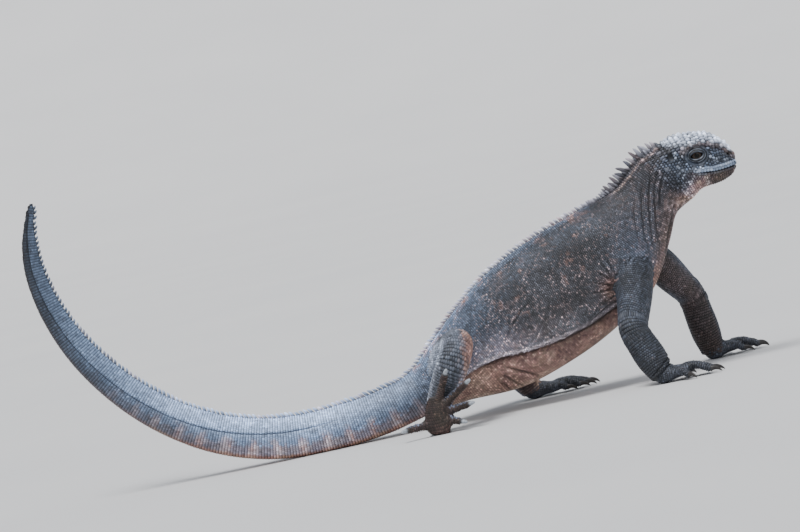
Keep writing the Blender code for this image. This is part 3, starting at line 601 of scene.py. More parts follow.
def path_distance(points, path):
    """Side-view distance to a path of x, z, the share along it, and the distance above it.

    Above is on the left of the path's own direction, so paths are drawn towards the head.
    """
    flat, path = points[:, [0, 2]], np.array(path, float)
    run = run_of(path)
    best, share, above = np.full(len(flat), 1e9), np.zeros(len(flat)), np.zeros(len(flat))
    for i in range(len(path) - 1):
        step, from_start = path[i + 1] - path[i], flat - path[i]
        t = np.clip((from_start @ step) / (step @ step), 0, 1)
        gap = np.linalg.norm(from_start - t[:, None] * step, axis=1)
        left = step[0] * from_start[:, 1] - step[1] * from_start[:, 0]
        nearer = gap < best
        best[nearer] = gap[nearer]
        share[nearer] = ((run[i] + t * (run[i + 1] - run[i])) / run[-1])[nearer]
        above[nearer] = (np.sign(left) * gap)[nearer]
    return best, share, above


def on_mouth(share, offset=0.0):
    """A point of x and z at a share of the way from the corner of the mouth to its front."""
    x, z = np.array(MOUTH_CORNER) + (np.array(MOUTH_FRONT) - MOUTH_CORNER) * share
    return x, z - MOUTH_SAG * math.sin(math.pi * share) + offset


def level_path(pairs):
    """The side view of a line along the body through pairs of row and level."""
    rows, levels = np.array(pairs, float).T
    path = []
    for row in np.linspace(rows[0], rows[-1], 70):
        centre, rise, _, _ = BODY.frame(row)
        path.append((centre + rise * np.interp(row, rows, levels))[[0, 2]])
    return path[::-1]


# Creases seen from the side: path of x, z, half width, depth, side (-1 right, 1 left, 0 both).
CREASES = [
    ([(201.0, 143.0), (194.5, 129.0), (190.5, 114.0)], 0.85, 0.65, 0),
    ([(196.0, 144.0), (190.0, 128.0), (187.0, 108.0), (185.0, 92.0)], 0.8, 0.6, 0),
    ([(191.5, 144.0), (186.0, 127.0), (182.5, 108.0), (181.0, 92.0)], 0.85, 0.75, 0),
    ([(184.5, 138.0), (179.5, 122.0), (177.0, 104.0), (177.5, 86.0)], 0.85, 0.65, 0),
    ([(176.5, 130.0), (172.5, 114.0), (172.0, 96.0)], 0.9, 0.5, 0),
    ([(204.5, 121.5), (199.0, 109.0), (192.5, 94.0), (188.0, 80.0)], 0.9, 0.9, 0),
    ([(207.5, 117.5), (203.0, 107.5), (197.5, 98.0)], 0.8, 0.6, 0),
    ([(150.0, 73.5), (144.0, 79.0), (138.0, 84.5)], 0.7, 0.8, -1),
    ([(150.0, 74.5), (146.5, 81.5), (143.0, 89.0)], 0.7, 0.8, -1),
    ([(151.5, 75.5), (149.5, 83.5), (147.5, 91.5)], 0.7, 0.8, -1),
    ([(149.5, 71.5), (141.0, 74.5), (133.0, 77.5)], 0.7, 0.8, -1),
    ([(149.0, 69.0), (140.0, 69.5), (131.0, 69.5)], 0.8, 0.7, -1),
    ([(149.5, 65.0), (142.0, 62.5), (135.0, 60.0)], 0.8, 0.6, -1),
    ([(91.5, 75.0), (83.0, 69.5), (74.5, 60.5), (66.0, 50.5)], 0.8, 0.45, -1),
    ([(62.0, 33.0), (73.0, 27.5), (86.0, 20.5)], 1.0, 1.1, 0),
    ([(60.0, 27.5), (67.0, 20.5), (73.0, 15.5)], 0.9, 1.0, 0),
    ([(57.0, 24.0), (61.0, 18.0), (64.0, 14.0)], 0.9, 0.9, 0),
]
WRIST_CREASES = [[(161.0, 8.0), (173.5, 17.5)], [(163.5, 6.0), (176.5, 15.0)]]
FLANK_FOLD = [(38.0, 33.5), (44.6, 36.4), (61.2, 39.9), (82.7, 40.1), (104.9, 43.1), (127.7, 48.8),
              (147.5, 57.3), (156.0, 63.0)]
NECK_RIDGE = [(155.5, 130.2), (168.0, 135.8), (176.5, 142.6), (184.9, 149.9), (200.0, 156.6)]
BROW = [(215.0, 151.0), (220.0, 153.9), (228.0, 154.6), (235.8, 152.9), (244.8, 147.8), (250.0, 141.5)]
TAIL_GROOVE = level_path([(17.6, 0.42), (18.5, 0.38), (20, 0.28), (22, 0.12), (24, -0.02), (26, -0.12),
                          (28, -0.2), (30, -0.26), (30.7, -0.26)])
MOUTH = [*(on_mouth(share) for share in np.linspace(0, 1, 12)), (253.5, MOUTH_FRONT[1] - 0.2)]
ARMPIT = (147.5, 70.5)


def crease_gaps(points, body):
    """For each crease seen from the side: the points' gap to it, where it shows, width and depth."""
    side = np.sign(points[:, 1])
    for path, width, deep, which in CREASES:
        gap, share, _ = path_distance(points, path)
        yield gap, share, body * (1 if which == 0 else side == which), width, deep


def wrist_gaps(points):
    """The gap to each wrist crease, for points of the near hand."""
    near = (points[:, 1] < -40) & (points[:, 2] < 26)
    return [np.where(near, path_distance(points, path)[0], np.inf) for path in WRIST_CREASES]


def carve(mesh):
    """Moves the skin's points for creases, folds, mouth, ears, nostrils and the eyes' dents."""
    points, out = coordinates(mesh), normals(mesh)
    x, y, z = points.T
    lateral = ease(np.abs(out[:, 1]), 0.15, 0.5)
    trunk = PLACES.find(points)[0] == 0
    body = lateral * trunk
    depth = np.zeros(len(points))
    for gap, share, here, width, deep in crease_gaps(points, body):
        fade = np.sin(math.pi * np.clip(share * 0.96 + 0.02, 0, 1)) ** 0.7
        depth += deep * here * fade * (0.55 * bump(gap, 2.1 * width, width) - bump(gap, 0, width))
    for gap in wrist_gaps(points):
        depth += 0.7 * (0.4 * bump(gap, 1.5, 0.8) - bump(gap, 0, 0.7))
    _, share, above = path_distance(points, FLANK_FOLD)
    depth += body * span(share, 0, 0.15, 0.86, 1) * (
        0.8 * bump(above, 1.1, 1.3) - 1.4 * bump(above, -0.9, 0.8))
    gap, share, _ = path_distance(points, NECK_RIDGE)
    fade = trunk * span(share, 0, 0.2, 0.8, 1) * (np.abs(y) > 2.0)
    depth += fade * (0.8 * bump(gap, 0, 0.7) - 0.4 * bump(gap, 2.2, 1.0))
    gap, share, _ = path_distance(points, TAIL_GROOVE)
    depth -= body * 0.8 * bump(gap, 0, 0.8) * ease(share, 1.0, 0.85)
    depth -= body * (y < 0) * 2.2 * bump(side_gap(points, ARMPIT), 0, 4.0)
    head = x > 190
    gap, share, above = path_distance(points, MOUTH)
    lips = 0.4 * bump(above, 1.5, 0.9) + 0.2 * bump(above, -1.6, 0.9) - 0.95 * bump(gap, 0, 0.4)
    depth += head * (x > MOUTH_CORNER[0] - 3) * (gap < 5) * ease(share, 0, 0.12) * lips
    gap = side_gap(points, EAR, 0.8)
    depth += head * lateral * (0.5 * bump(gap, EAR_RADIUS * 1.15, 0.9)
                               - 1.6 * ease(gap, EAR_RADIUS, 1.2))
    gap = side_gap(points, NOSTRIL)
    depth += head * (0.55 * bump(gap, NOSTRIL_RADIUS * 1.5, 0.6) - 1.7 * ease(gap, NOSTRIL_RADIUS, 0.4))
    gap, share, _ = path_distance(points, BROW)
    depth += head * lateral * 0.7 * bump(gap, 0, 1.3) * ease(share, 1.0, 0.7)
    ring, up = lid_ring(points), (z - EYE[2]) / LIDS[2]
    ripple = 0.3 * lid_ripple(ring) * ease(ring, 0.85, 0.95) * ease(up, 1.1, 0.4)
    depth += head * lateral * (ripple - 2.2 * ease(ring, 0.92, 0.6))
    move_to(mesh, points + out * depth[:, None])


def make_skin():
    skin = skin_core()
    mesh = skin.data
    relax(mesh, EVEN_OUT * 4)
    sole = LIMBS[2].palm
    gap = np.linalg.norm(coordinates(mesh) - sole.frame(sole.last * 0.6)[0], axis=1)
    relax(mesh, (0.5,) * 6, ease(gap, 15, 9)[:, None])
    x, y, z = coordinates(mesh).T
    refine(mesh, (x > 197) & (z > 112) & (np.abs(y) < 24))
    points = coordinates(mesh)
    near = (path_distance(points, MOUTH)[0] < 2.2) | (side_gap(points, NOSTRIL) < 3.2)
    refine(mesh, near & (points[:, 0] > 219))
    points = coordinates(mesh)
    gaps = [path_distance(points, path)[0] for path in (FLANK_FOLD, NECK_RIDGE, TAIL_GROOVE)]
    refine(mesh, (np.min(gaps, axis=0) < 3.0) & (np.abs(points[:, 1]) > 1.5) & (points[:, 0] < 200))
    relax(mesh, EVEN_OUT)
    move_to(mesh, coordinates(mesh) - normals(mesh) * COAT_DEPTH)
    lift_to(mesh, LOWEST_SKIN)
    carve(mesh)
    lift_to(mesh, LOWEST_SKIN)
    return skin


# Markings, painted shade and painted light, the same for the skin and all that stands on it


TAIL_BAR_PITCH = 17.0
GROIN = (42.0, 25.0)
# Broad lighter and darker zones of the body: middle x and z, half width and height, tone.
ZONES = [
    (147, 79, 9, 9, 0.40),  # behind the armpit
    (172, 90, 20, 24, 0.65),  # shoulder
    (126, 101, 14, 10, -0.45),  # upper flank
    (30, 66, 10, 13, -0.55),  # hip
    (54, 84, 9, 9, 0.25),  # rump
    (221, 140, 7, 4, 0.40),  # under the eye
]


class Spots:
    """Points of the animal, what the paint asks about each, and the paint itself in five layers."""

    def __init__(self, points):
        self.points, (self.x, self.y, self.z) = points, points.T
        self.form, self.at, self.angle, self.inward, self.forward = PLACES.find(points)
        self.body, self.turn = self.form == 0, np.abs(self.angle)
        self.noise, self.fine = cloud(points, 9.0, 3), cloud(points, 2.2, 5)
        self.run = tail_run(self.at)
        self.layers = np.zeros((5, len(points)))  # brown, rust, pale, blue and tone


def tail_run(at):
    """How far a row of the tail lies behind the hips, in mm."""
    fine = np.linspace(HIPS_END, BODY.last, 400)
    return np.interp(at, fine, run_of(BODY.frame(fine)[0]))


def paint_trunk(s):
    brown, rust, pale, blue, tone = s.layers
    at, turn, fine = s.at, s.turn, s.fine
    blotch = cloud(s.points, 7.0, 8) * 0.6 + fine * 0.4
    _, share, fold = path_distance(s.points, FLANK_FOLD)
    trunk = s.body * span(at, 10.4, 11.2, 15.4, 16.2) * ease(turn, 1.2, 1.6)
    under = trunk * ease(fold, 0.4, -1.2)
    keel = ease(turn + 0.5 * (s.noise - 0.5), 2.3, 2.9) * (1 - 0.78 * ease(s.x, 80, 118))
    brown += under * (0.82 + 0.3 * (s.noise - 0.5))
    rust += under * (0.45 * ease(blotch, 0.42, 0.68) + 0.12) * ease(turn, 3.0, 2.4)
    pale += under * (0.35 * ease(fine, 0.62, 0.8) + 0.56 * keel)
    # Just under the fold a painted shadow; lower down, towards the keel, a little lighter.
    tone += trunk * ease(fold, 0.0, -0.8) * (0.26 * ease(turn, 2.2, 2.9) - 0.66 * ease(fold, -9.0, -1.0)
                                             - 0.08)
    edge = s.body * (turn > 1.0) * bump(fold, 1.1, 1.4) * span(at, 10.8, 11.4, 15, 16)
    pale += edge * 0.16
    rust += edge * 0.24
    # Painted highlight on the fold's ridge and painted shadow in the dent under it.
    fade = s.body * (turn > 1.0) * span(share, 0.0, 0.12, 0.9, 1.0)
    tone += fade * (0.42 * bump(fold, 1.2, 1.3) - bump(fold, -0.9, 0.8))
    groin = bump(side_gap(s.points, GROIN), 0, 9) * (s.y < 0)
    brown += groin * 0.5
    pale += groin * 0.45

    flank = s.body * ease(turn, 1.8, 1.2) * span(at, 10.4, 11.4, 15.0, 16.0)
    rust += flank * ease(blotch, 0.66, 0.80) * 0.48
    brown += flank * bump(fold, 5, 11) * 0.26
    flank = s.body * span(at, 10.4, 11.6, 14.2, 15.4) * span(turn, 0.5, 0.9, 1.6, 2.2)
    tone += flank * (0.70 * ease(fold, 22, 6) - 0.26 * ease(fold, 6, 24) - 0.14)
    top = s.body * ease(turn, 0.66, 0.3) * span(at, 10.4, 11.2, 15.6, 16.4)
    rust += top * ease(cloud(s.points, 8.0, 12), 0.60, 0.74) * (0.15 + 0.5 * ease(fine, 0.35, 0.65))
    # Blue along the upper back and over the hips: painted sheen of sky light on the upward surfaces.
    beside = bump(turn, 0.16, 0.14)
    upper = s.body * ease(turn, 1.2, 0.35) * span(at, 10.2, 11.2, 15.5, 17.5)
    blue += upper * (0.24 + 0.36 * (s.noise - 0.5) + 0.3 * beside)
    blue += s.body * span(at, 12.8, 14.6, 15.5, 17.5) * ease(turn, 2.0, 1.2) * 0.50
    blue += s.body * bump(s.x, 170, 20) * bump(s.z, 90, 22) * 0.26
    tone += (cloud(s.points, 16.0, 41) - 0.5) * 0.45 + (cloud(s.points, 3.2, 43) - 0.5) * 0.5
    tone -= 0.60 * s.body * span(at, 9.6, 10.8, 13.4, 14.6) * ease(turn, 1.0, 0.4) * (
        0.2 + 0.8 * ease(turn, 0.02, 0.12))
    # Painted sheen again: lighter beside the ridge and over the top of the hips.
    tone += s.body * beside * span(at, 10.6, 11.4, 15, 16) * 0.6
    tone += s.body * (bump(at, 15.2, 1.3) * 0.35 + bump(at, 16.7, 1.0) * 0.25) * ease(turn, 1.6, 0.8)
    tone += s.body * ease(turn, 0.03, 0.01) * span(at, 10.0, 10.8, 13.8, 14.8) * 0.5
    for x, z, wide, high, change in ZONES:
        tone += s.body * bump(s.x, x, wide) * bump(s.z, z, high) * change


def paint_tail(s):
    brown, rust, pale, blue, tone = s.layers
    turn, run = s.turn, s.run
    tail = s.body * ease(s.at, 15.6, 17.0)
    lower = ease(turn + 0.25 * (s.fine - 0.5), 1.75, 2.1)
    near = ease(run, 270, 120)
    bar = bump((run / TAIL_BAR_PITCH + 0.3 * (s.noise - 0.5)) % 1.0, 0.5, 0.17)
    stripe = tail * bar * span(turn, 1.45, 1.85, 2.6, 2.95) * near
    brown += tail * (ease(turn, 2.35, 2.75) * (0.35 + 0.60 * near) + 0.34 * lower * near)
    rust += stripe * 0.62 * ease(s.fine + bar * 0.5, 0.35, 0.75)
    pale += stripe * 0.40 * ease(s.fine, 0.3, 0.7)
    # The upper side is bluer and, near the root, paler: the tail's own blue-grey, with painted sheen of
    # sky light on top.
    blue += tail * (1 - 0.5 * lower)
    pale += tail * (1 - lower) * 0.12 * ease(turn, 2.0, 0.6) * ease(run, 260, 160)
    gap, share, above = path_distance(s.points, TAIL_GROOVE)
    half = ease(above, 0.5, -1.5)
    # Tone: darker far along the tail, a little lighter on top as painted sheen, darker underneath, and
    # a painted shade line in the groove.
    tone += s.body * ease(s.at, 16.5, 18.5) * (
        1.06 - 2.05 * ease(run, 145, 390) + 0.15 * ease(turn, 1.2, 0.4) - 0.35 * ease(turn, 2.3, 2.7)
        - 0.30 * ease(turn, 0.04, 0.01) - half * (0.30 + 0.5 * ease(run, 110, 190))
        - 1.3 * bump(gap, 0, 0.7) * ease(share, 1.0, 0.8))


def paint_neck(s):
    brown, rust, pale, blue, tone = s.layers
    at, turn, fine = s.at, s.turn, s.fine
    neck = s.body * span(at, 6.8, 7.8, 10.2, 11.2)
    brown += neck * 0.05
    rust += neck * 0.16 * ease(fine, 0.55, 0.75)
    blue += neck * 0.12 * ease(turn, 2.4, 1.6)
    tone -= neck * 0.84 * ease(turn, 0.04, 0.16)
    throat = s.body * span(at, 4.6, 6.5, 9.2, 10.8) * ease(turn, 1.75, 2.4)
    brown += throat * (0.28 + 0.5 * (s.noise - 0.5))
    rust += throat * (0.08 + 0.5 * ease(fine, 0.55, 0.75))
    pale += throat * 0.22 * ease(fine, 0.45, 0.7)
    tone += s.body * span(at, 4.6, 6.5, 8.2, 9.4) * ease(turn, 1.75, 2.4) * 0.95
    brown += s.body * span(at, 9.2, 10.4, 11.4, 12.4) * ease(turn, 2.2, 2.7) * 0.5
    gap, share, _ = path_distance(s.points, NECK_RIDGE)
    ridge = s.body * bump(gap, 0, 0.9) * ease(share, 0.0, 0.2)
    pale += ridge * 0.16
    brown += ridge * 0.50
    # Painted highlight along the neck's ridge and painted shade beside it.
    tone += s.body * span(share, 0.0, 0.2, 0.85, 1.0) * (np.abs(s.y) > 1.5) * (
        0.75 * bump(gap, 0, 0.65) - 0.5 * bump(gap, 2.2, 0.9))
    gap = side_gap(s.points, ARMPIT)
    pit = s.body * ease(s.y, 0, -5) * bump(gap, 0, 7.5)
    brown += pit * 0.7
    rust += pit * 0.5 * ease(fine, 0.3, 0.7)
    # Painted shade in the armpit's hollow.
    tone -= s.body * (s.y < 0) * 1.1 * bump(gap, 0, 4.5)


def paint_head(s):
    brown, rust, pale, blue, tone = s.layers
    at, turn, fine, x = s.at, s.turn, s.fine, s.x
    head = s.body * ease(at, 8.4, 7.2)
    brow_gap, _, above_brow = path_distance(s.points, BROW)
    gap, _, above = path_distance(s.points, MOUTH)
    behind = 218.0 - x
    crown = ease(above_brow, -0.5, 1.2) * ease(at, 7.6, 6.2) * ease(turn, 1.3, 0.9) * np.where(
        behind > 0, ease(s.z - 153.4 - 0.3 * behind, -1.2, 2.2), 1)
    pale += head * crown * (0.86 + 0.4 * (fine - 0.5))
    cheek = head * span(turn, 0.8, 1.1, 2.0, 2.5) * ease(at, 8.2, 6.8) * (1 - crown)
    pale += cheek * 0.42 * ease(fine, 0.50, 0.72)
    blue += cheek * 0.46
    lip = head * bump(above, 2.4, 1.7) * ease(x, 216, 226)
    blue += lip * 1.1
    pale += lip * 0.30
    jaw = head * ease(above, -0.3, -1.6) * ease(x, 208, 222) * ease(turn, 1.2, 1.6)
    brown += jaw * (0.55 + 0.4 * (s.noise - 0.5))
    pale += jaw * 0.45 * bump(x, 228.8, 1.5)
    brow = head * bump(brow_gap, 0, 2.2) * (x > 212)
    rust += brow * 0.5 * ease(fine, 0.4, 0.7)
    brown += brow * 0.35

    head = s.body * ease(at, 8.0, 7.2)
    face = ease(above_brow, 1.2, -0.2) * (at < 8)
    jowl = ease(turn, 1.85, 2.3) * ease(at, 4.2, 5.6)
    tone += head * ((1 - face) * 0.25 - face * 0.98 * (1 - 1.1 * jowl))
    tone += head * 0.35 * (bump(above_brow, 0.9, 1.3) * (x > 212) - bump(brow_gap, 0, 1.3))
    # A painted shade line in the mouth's groove; below the mouth darker, and the lip band lighter.
    tone -= head * (x > 219) * (1.1 * bump(gap, 0, 0.7) + 0.30 * (above < -0.8) * (above > -9)
                                - 1.45 * bump(above, 2.4, 1.6))
    # Painted light on the crests of the folds round the eye and painted shade in their troughs; painted
    # shade in the ear's dent and in the nostril.
    ring = lid_ring(s.points)
    tone += head * (turn > 0.6) * (0.5 * lid_ripple(ring) * (ring > 0.93)
                                   - 1.1 * bump(side_gap(s.points, EAR), 0, 2.6))
    tone -= head * 1.3 * bump(side_gap(s.points, NOSTRIL), 0, 1.3)


def paint_creases(s):
    tone = s.layers[4]
    # Painted shade in each crease, with painted light along its edges; painted shade in the wrists'
    # creases.
    for gap, share, here, width, deep in crease_gaps(s.points, s.body):
        fade = here * np.sin(math.pi * np.clip(share, 0, 1)) ** 0.5
        tone += fade * deep * (0.55 * bump(gap, 2.3 * width, 0.9 * width) - 0.95 * bump(gap, 0, width))
    for gap in wrist_gaps(s.points):
        tone -= bump(gap, 0, 0.6)


def paint_limb(s, number, limb):
    brown, rust, pale, blue, tone = s.layers
    at, forward = s.at, s.forward
    on_limb, on_palm, on_digit = (s.form == number + shift for shift in (1, 5, 9))
    inner = on_limb * ease(s.inward, 0.1, 0.75)
    rust += inner * 0.10
    blue += on_limb * (1 - inner) * (0.20 if limb.side == "right" else 0.40) * (0.5 + s.noise)
    blue += on_digit * 0.15
    if limb.name == "hand":
        brown += inner * 0.18
        tone -= on_limb * (0.84 + 0.58 * ease(at, 2.5, 4.5))
    else:
        brown += inner * 0.50
        start = 0.36 - 0.12 * ease(at, 5.6, 4.2)
        knee, shank = ease(at, 1.6, 2.6), ease(at, 4.8, 6.4)
        front = on_limb * ease(forward + 0.5 * (s.fine - 0.5) - start, 0.0, 0.65) * knee
        rust += front * (0.36 + 0.3 * s.noise) * ease(at, 7.6, 6.2)
        brown += front * 0.85
        pale += front * (0.03 + 0.34 * shank)
        pale += (on_limb - front) * (0.10 + 0.24 * ease(forward, -0.45, -0.9))
        front = ease(forward, 0.15, 0.7) * knee
        tone += on_limb * (front * (0.25 * shank - 0.30) + 0.9 * ease(forward, -0.5, -0.9)
                           + (1 - front) * (0.55 * bump(at, 4.0, 1.3) - 1.0))
    # On a digit, forward tells how far a place faces up; the upper side of the digits is painted
    # lighter, a painted highlight.
    rim = ease(forward, 0.15, 0.85)
    if limb.floor:
        blue += on_palm * 0.15
        tone -= on_digit * (1.2 - 0.35 * rim) + on_palm * 0.80
    else:
        tone -= on_digit * (1.9 - 1.7 * rim * ease(at, 0.10, 0.35)) + on_palm * 2.05
        # Painted shade in grooves between the folded sole's digits.
        groove = 0.5 - 0.5 * np.cos(5 * math.pi * np.sin(s.angle))
        tone -= on_palm * (0.9 * groove * ease(at, 0.8, limb.palm.last) - 0.7 * ease(s.z, 8, 2))
        # The folded digits' upper sides are bluer and less brown: a painted highlight.
        rim = on_digit * ease(at, 0.10, 0.35) * ease(forward, 0.2, 0.75)
        brown += on_palm * 0.80 + on_digit * 0.62 - rim * 0.45
        blue += rim * 0.6 - on_digit * 0.10
        rust += on_palm * 0.25 * ease(s.z, 7, 2)


def looks(points):
    """Masks for brown, rust, pale and blue at each point, and a tone.

    The tone goes from about -1 in creases and dark zones to 1 on pale edges. Much of it is painted
    light: painted shade in creases, grooves and hollows, and painted highlights on ridges and folds.
    Blue on the upper back and tail is partly painted sheen of sky light.
    """
    s = Spots(points)
    for paint in (paint_trunk, paint_tail, paint_neck, paint_head, paint_creases):
        paint(s)
    for number, limb in enumerate(LIMBS):
        paint_limb(s, number, limb)
    return np.clip(s.layers[:4].T, 0, 1), s.layers[4]


def mark(mesh, change=0.0):
    """Stores the paint of each vertex, its tone changed by some amount."""
    marks, tone = looks(coordinates(mesh))
    store_values(mesh, marks=marks, tone=tone + change)


# Materials


class Tree:
    """A node tree with short calls for adding and joining nodes."""

    def __init__(self, tree):
        self.tree, self.count = tree, 0

    def add(self, kind, inputs=None, **settings):
        """Adds a node, fills its inputs and gives its outputs. A bare kind is a shader node."""
        node = self.tree.nodes.new(kind if "Node" in kind else "ShaderNode" + kind)
        for key, value in settings.items():
            setattr(node, key, value)
        self.count += 1
        node.location = (self.count % 6 * 220, -(self.count // 6) * 260)
        self.fill(node, inputs or {})
        return node.outputs

    def fill(self, node, inputs):
        for key, value in inputs.items():
            if isinstance(value, bpy.types.NodeSocket):
                self.tree.links.new(value, node.inputs[key])
            else:
                node.inputs[key].default_value = value

    def math(self, operation, *values):
        return self.add("Math", dict(enumerate(values)), operation=operation)[0]

    def vector(self, operation, a, b):
        second = "Scale" if operation == "SCALE" else 1
        return self.add("VectorMath", {0: a, second: b}, operation=operation)[0]

    def mix(self, factor, a, b):
        return self.add("Mix", {"Factor": factor, "A": a, "B": b}, data_type="RGBA")["Result"]

    def noise(self, scale, detail=2.0, rough=0.5):
        return self.add("TexNoise", {"Vector": self.add("TexCoord")["Object"], "Scale": scale,
                                     "Detail": detail, "Roughness": rough})["Fac"]

    def ramp(self, value, low, high):
        return self.add("MapRange", {"Value": value, "From Min": low, "From Max": high},
                        interpolation_type="SMOOTHSTEP")["Result"]

    def attribute(self, name):
        return self.add("Attribute", attribute_name=name)["Fac"]

    def marks(self):
        """The masks for brown, rust, pale and blue."""
        marks = self.add("Attribute", attribute_name="marks")
        return [*self.add("SeparateColor", {0: marks["Color"]}), marks["Alpha"]]

    def relief(self, height, strength, distance):
        return self.add("Bump", {"Height": height, "Strength": strength,
                                 "Distance": distance})["Normal"]


def add_sockets(group, way, *sockets):
    """Gives a node group its inputs or outputs, each a name, a kind and perhaps a value."""
    for name, kind, *value in sockets:
        made = group.interface.new_socket(name, in_out=way, socket_type=f"NodeSocket{kind}")
        if value:
            made.default_value = value[0]


SLATE = (0.082, 0.084, 0.100, 1)
CHARCOAL = (0.042, 0.042, 0.049, 1)
BLUE_GREY = (0.190, 0.268, 0.415, 1)
BROWN = (0.245, 0.128, 0.106, 1)
TAN = (0.330, 0.210, 0.150, 1)
PINK_RUST = (0.440, 0.250, 0.210, 1)
PALE = (0.575, 0.640, 0.775, 1)
WARM_PALE = (0.570, 0.425, 0.330, 1)  # what pale becomes on brown
SPINE_TIP = (0.025, 0.022, 0.022, 1)
HORN_DARK = (0.014, 0.012, 0.012, 1), (0.042, 0.038, 0.036, 1)
HORN_LIGHT = (0.30, 0.34, 0.39, 1), (0.56, 0.60, 0.65, 1)
HORN_ROOT = (0.040, 0.038, 0.040, 1)
IRIS = (0.014, 0.009, 0.007, 1), (0.042, 0.026, 0.019, 1)
IRIS_EDGE, PUPIL = (0.010, 0.007, 0.006, 1), (0.002, 0.002, 0.002, 1)
FLOOR = (0.60, 0.60, 0.61, 1), (0.66, 0.66, 0.66, 1)
TONE_BASE = 2.3  # a tone of 1 makes the hide this many times lighter


def hide_group():
    """Colour, roughness and fine relief of the hide, read from the marks and tone of a piece. The low
    parts of scales and the skin between them get painted shade.
    """
    group = bpy.data.node_groups.new("Hide colouring", "ShaderNodeTree")
    add_sockets(group, "INPUT", ("Depth", "Float", 0.5), ("Grain", "Float", 900.0),
                ("Crown", "Float", 1.0))
    add_sockets(group, "OUTPUT", ("Color", "Color"), ("Roughness", "Float"), ("Relief", "Float"))
    tree = Tree(group)
    given = tree.add("NodeGroupInput")
    brown, rust, pale, blue = tree.marks()
    broad, mid = tree.noise(70.0, 3.0), tree.noise(330.0, 3.0, 0.6)
    fine = tree.noise(given["Grain"], 2.0, 0.6)

    def over(base, colour, mask, *patchy):
        return tree.mix(tree.math("MULTIPLY", mask, tree.ramp(mid, *patchy)), base, colour)

    base = tree.mix(tree.ramp(broad, 0.35, 0.7), SLATE, CHARCOAL)
    base = over(base, BLUE_GREY, blue, 0.0, 0.6)
    base = tree.mix(brown, base, tree.mix(tree.ramp(broad, 0.45, 0.68), BROWN, TAN))
    base = over(base, PINK_RUST, rust, 0.1, 0.5)
    base = over(base, tree.mix(tree.ramp(brown, 0.25, 0.7), PALE, WARM_PALE), pale, 0.0, 0.5)
    lift = tree.math("POWER", TONE_BASE, tree.attribute("tone"))
    grain = tree.math("MULTIPLY_ADD", fine, 0.6, 0.7)
    # Painted shade: the lower a point stands on its scale, the darker it is painted.
    painted_gap_shade = tree.math("MULTIPLY_ADD", tree.ramp(given["Crown"], 0.0, 0.85), 0.85, 0.22)
    strength = tree.math("MULTIPLY", tree.math("MULTIPLY", lift, grain), painted_gap_shade)
    relief = tree.math("ADD", fine, tree.math("MULTIPLY", mid, 1.5))
    relief = tree.math("MULTIPLY", relief, given["Depth"])
    tree.add("NodeGroupOutput", {"Color": tree.vector("SCALE", base, strength), "Relief": relief,
                                 "Roughness": tree.math("MULTIPLY_ADD", fine, 0.22, 0.42)})
    return group


def new_material(name):
    made = bpy.data.materials.new(name)
    made.use_nodes = True
    tree = Tree(made.node_tree)
    return made, tree, made.node_tree.nodes["Principled BSDF"]


def hide_material(name, group, depth, grain, distance, bare=None, tip_darkening=False):
    """A finish of the hide. Bare skin has one height; scales tell their own by "crown". The lower the
    height, the darker the painted shade.
    """
    made, tree, shader = new_material(name)
    height = tree.attribute("crown") if bare is None else bare
    hide = tree.add("Group", {"Depth": depth, "Grain": grain, "Crown": height}, node_tree=group)
    colour = hide["Color"]
    if tip_darkening:
        tip = tree.math("MULTIPLY", tree.ramp(height, 0.55, 1.0), tree.marks()[0])
        colour = tree.mix(tip, colour, SPINE_TIP)
    tree.fill(shader, {"Base Color": colour, "Roughness": hide["Roughness"], "Specular IOR Level": 0.45,
                       "Normal": tree.relief(hide["Relief"], 0.6, distance)})
    return made


def claw_material():
    made, tree, shader = new_material("Claw horn")
    streak = tree.noise(1400.0, 3.0, 0.7)
    dark, light = (tree.mix(tree.ramp(streak, 0.3, 0.7), *pair) for pair in (HORN_DARK, HORN_LIGHT))
    mostly = tree.mix(tree.attribute("pale_horn"), dark, light)
    root = tree.ramp(tree.attribute("reach"), 0.42, 0.08)
    tree.fill(shader, {"Base Color": tree.mix(root, mostly, HORN_ROOT), "Specular IOR Level": 0.35,
                       "Roughness": tree.math("MULTIPLY_ADD", streak, 0.25, 0.32),
                       "Normal": tree.relief(streak, 0.25, 0.0001)})
    return made


def eye_material():
    """A dark brown iris round a black pupil, wet over all, from the distance to the eye's axis."""
    made, tree, shader = new_material("Eye")
    part = tree.add("SeparateXYZ", {0: tree.add("TexCoord")["Object"]})
    squares = []
    for axis in (0, 2):
        across = tree.math("SUBTRACT", part[axis], float(EYE[axis]) * MM)
        squares.append(tree.math("MULTIPLY", across, across))
    gap = tree.math("SQRT", tree.math("ADD", *squares))
    colour = tree.mix(tree.ramp(tree.noise(2600.0, 2.0, 0.7), 0.3, 0.75), *IRIS)
    colour = tree.mix(tree.ramp(gap, 0.0026, 0.0034), colour, IRIS_EDGE)
    colour = tree.mix(tree.ramp(gap, 0.00185, 0.00150), colour, PUPIL)
    tree.fill(shader, {"Base Color": colour, "Roughness": 0.15, "Specular IOR Level": 0.1,
                       "Coat Weight": 0.15, "Coat Roughness": 0.04})
    return made


# Shapes that are repeated


def finish_shape(name, points, faces, heights, smooth):
    """Keeps, for each point of a scale, its spot on the scale's patch and its height from 0 to 1."""
    mesh = mesh_of(name, points / MM, faces, smooth)
    store_values(mesh, patch=np.clip(points * (1, 1, 0), -0.5, 0.5), crown=heights)
    return place(name, mesh)


def ring_shape(name, sides, levels, tip=None, smooth=True):
    """A closed shape of stacked rings, each a height, a radius and a shift along x."""
    turns = circle(sides) + math.pi / sides
    rings = np.array([[(radius * math.cos(a) + shift, radius * math.sin(a), height) for a in turns]
                      for height, radius, shift in levels])
    store = ([], [])
    add_rings(store, rings, None, tip)
    points = np.array(store[0])
    return finish_shape(name, points, store[1], points[:, 2] / points[:, 2].max(), smooth)


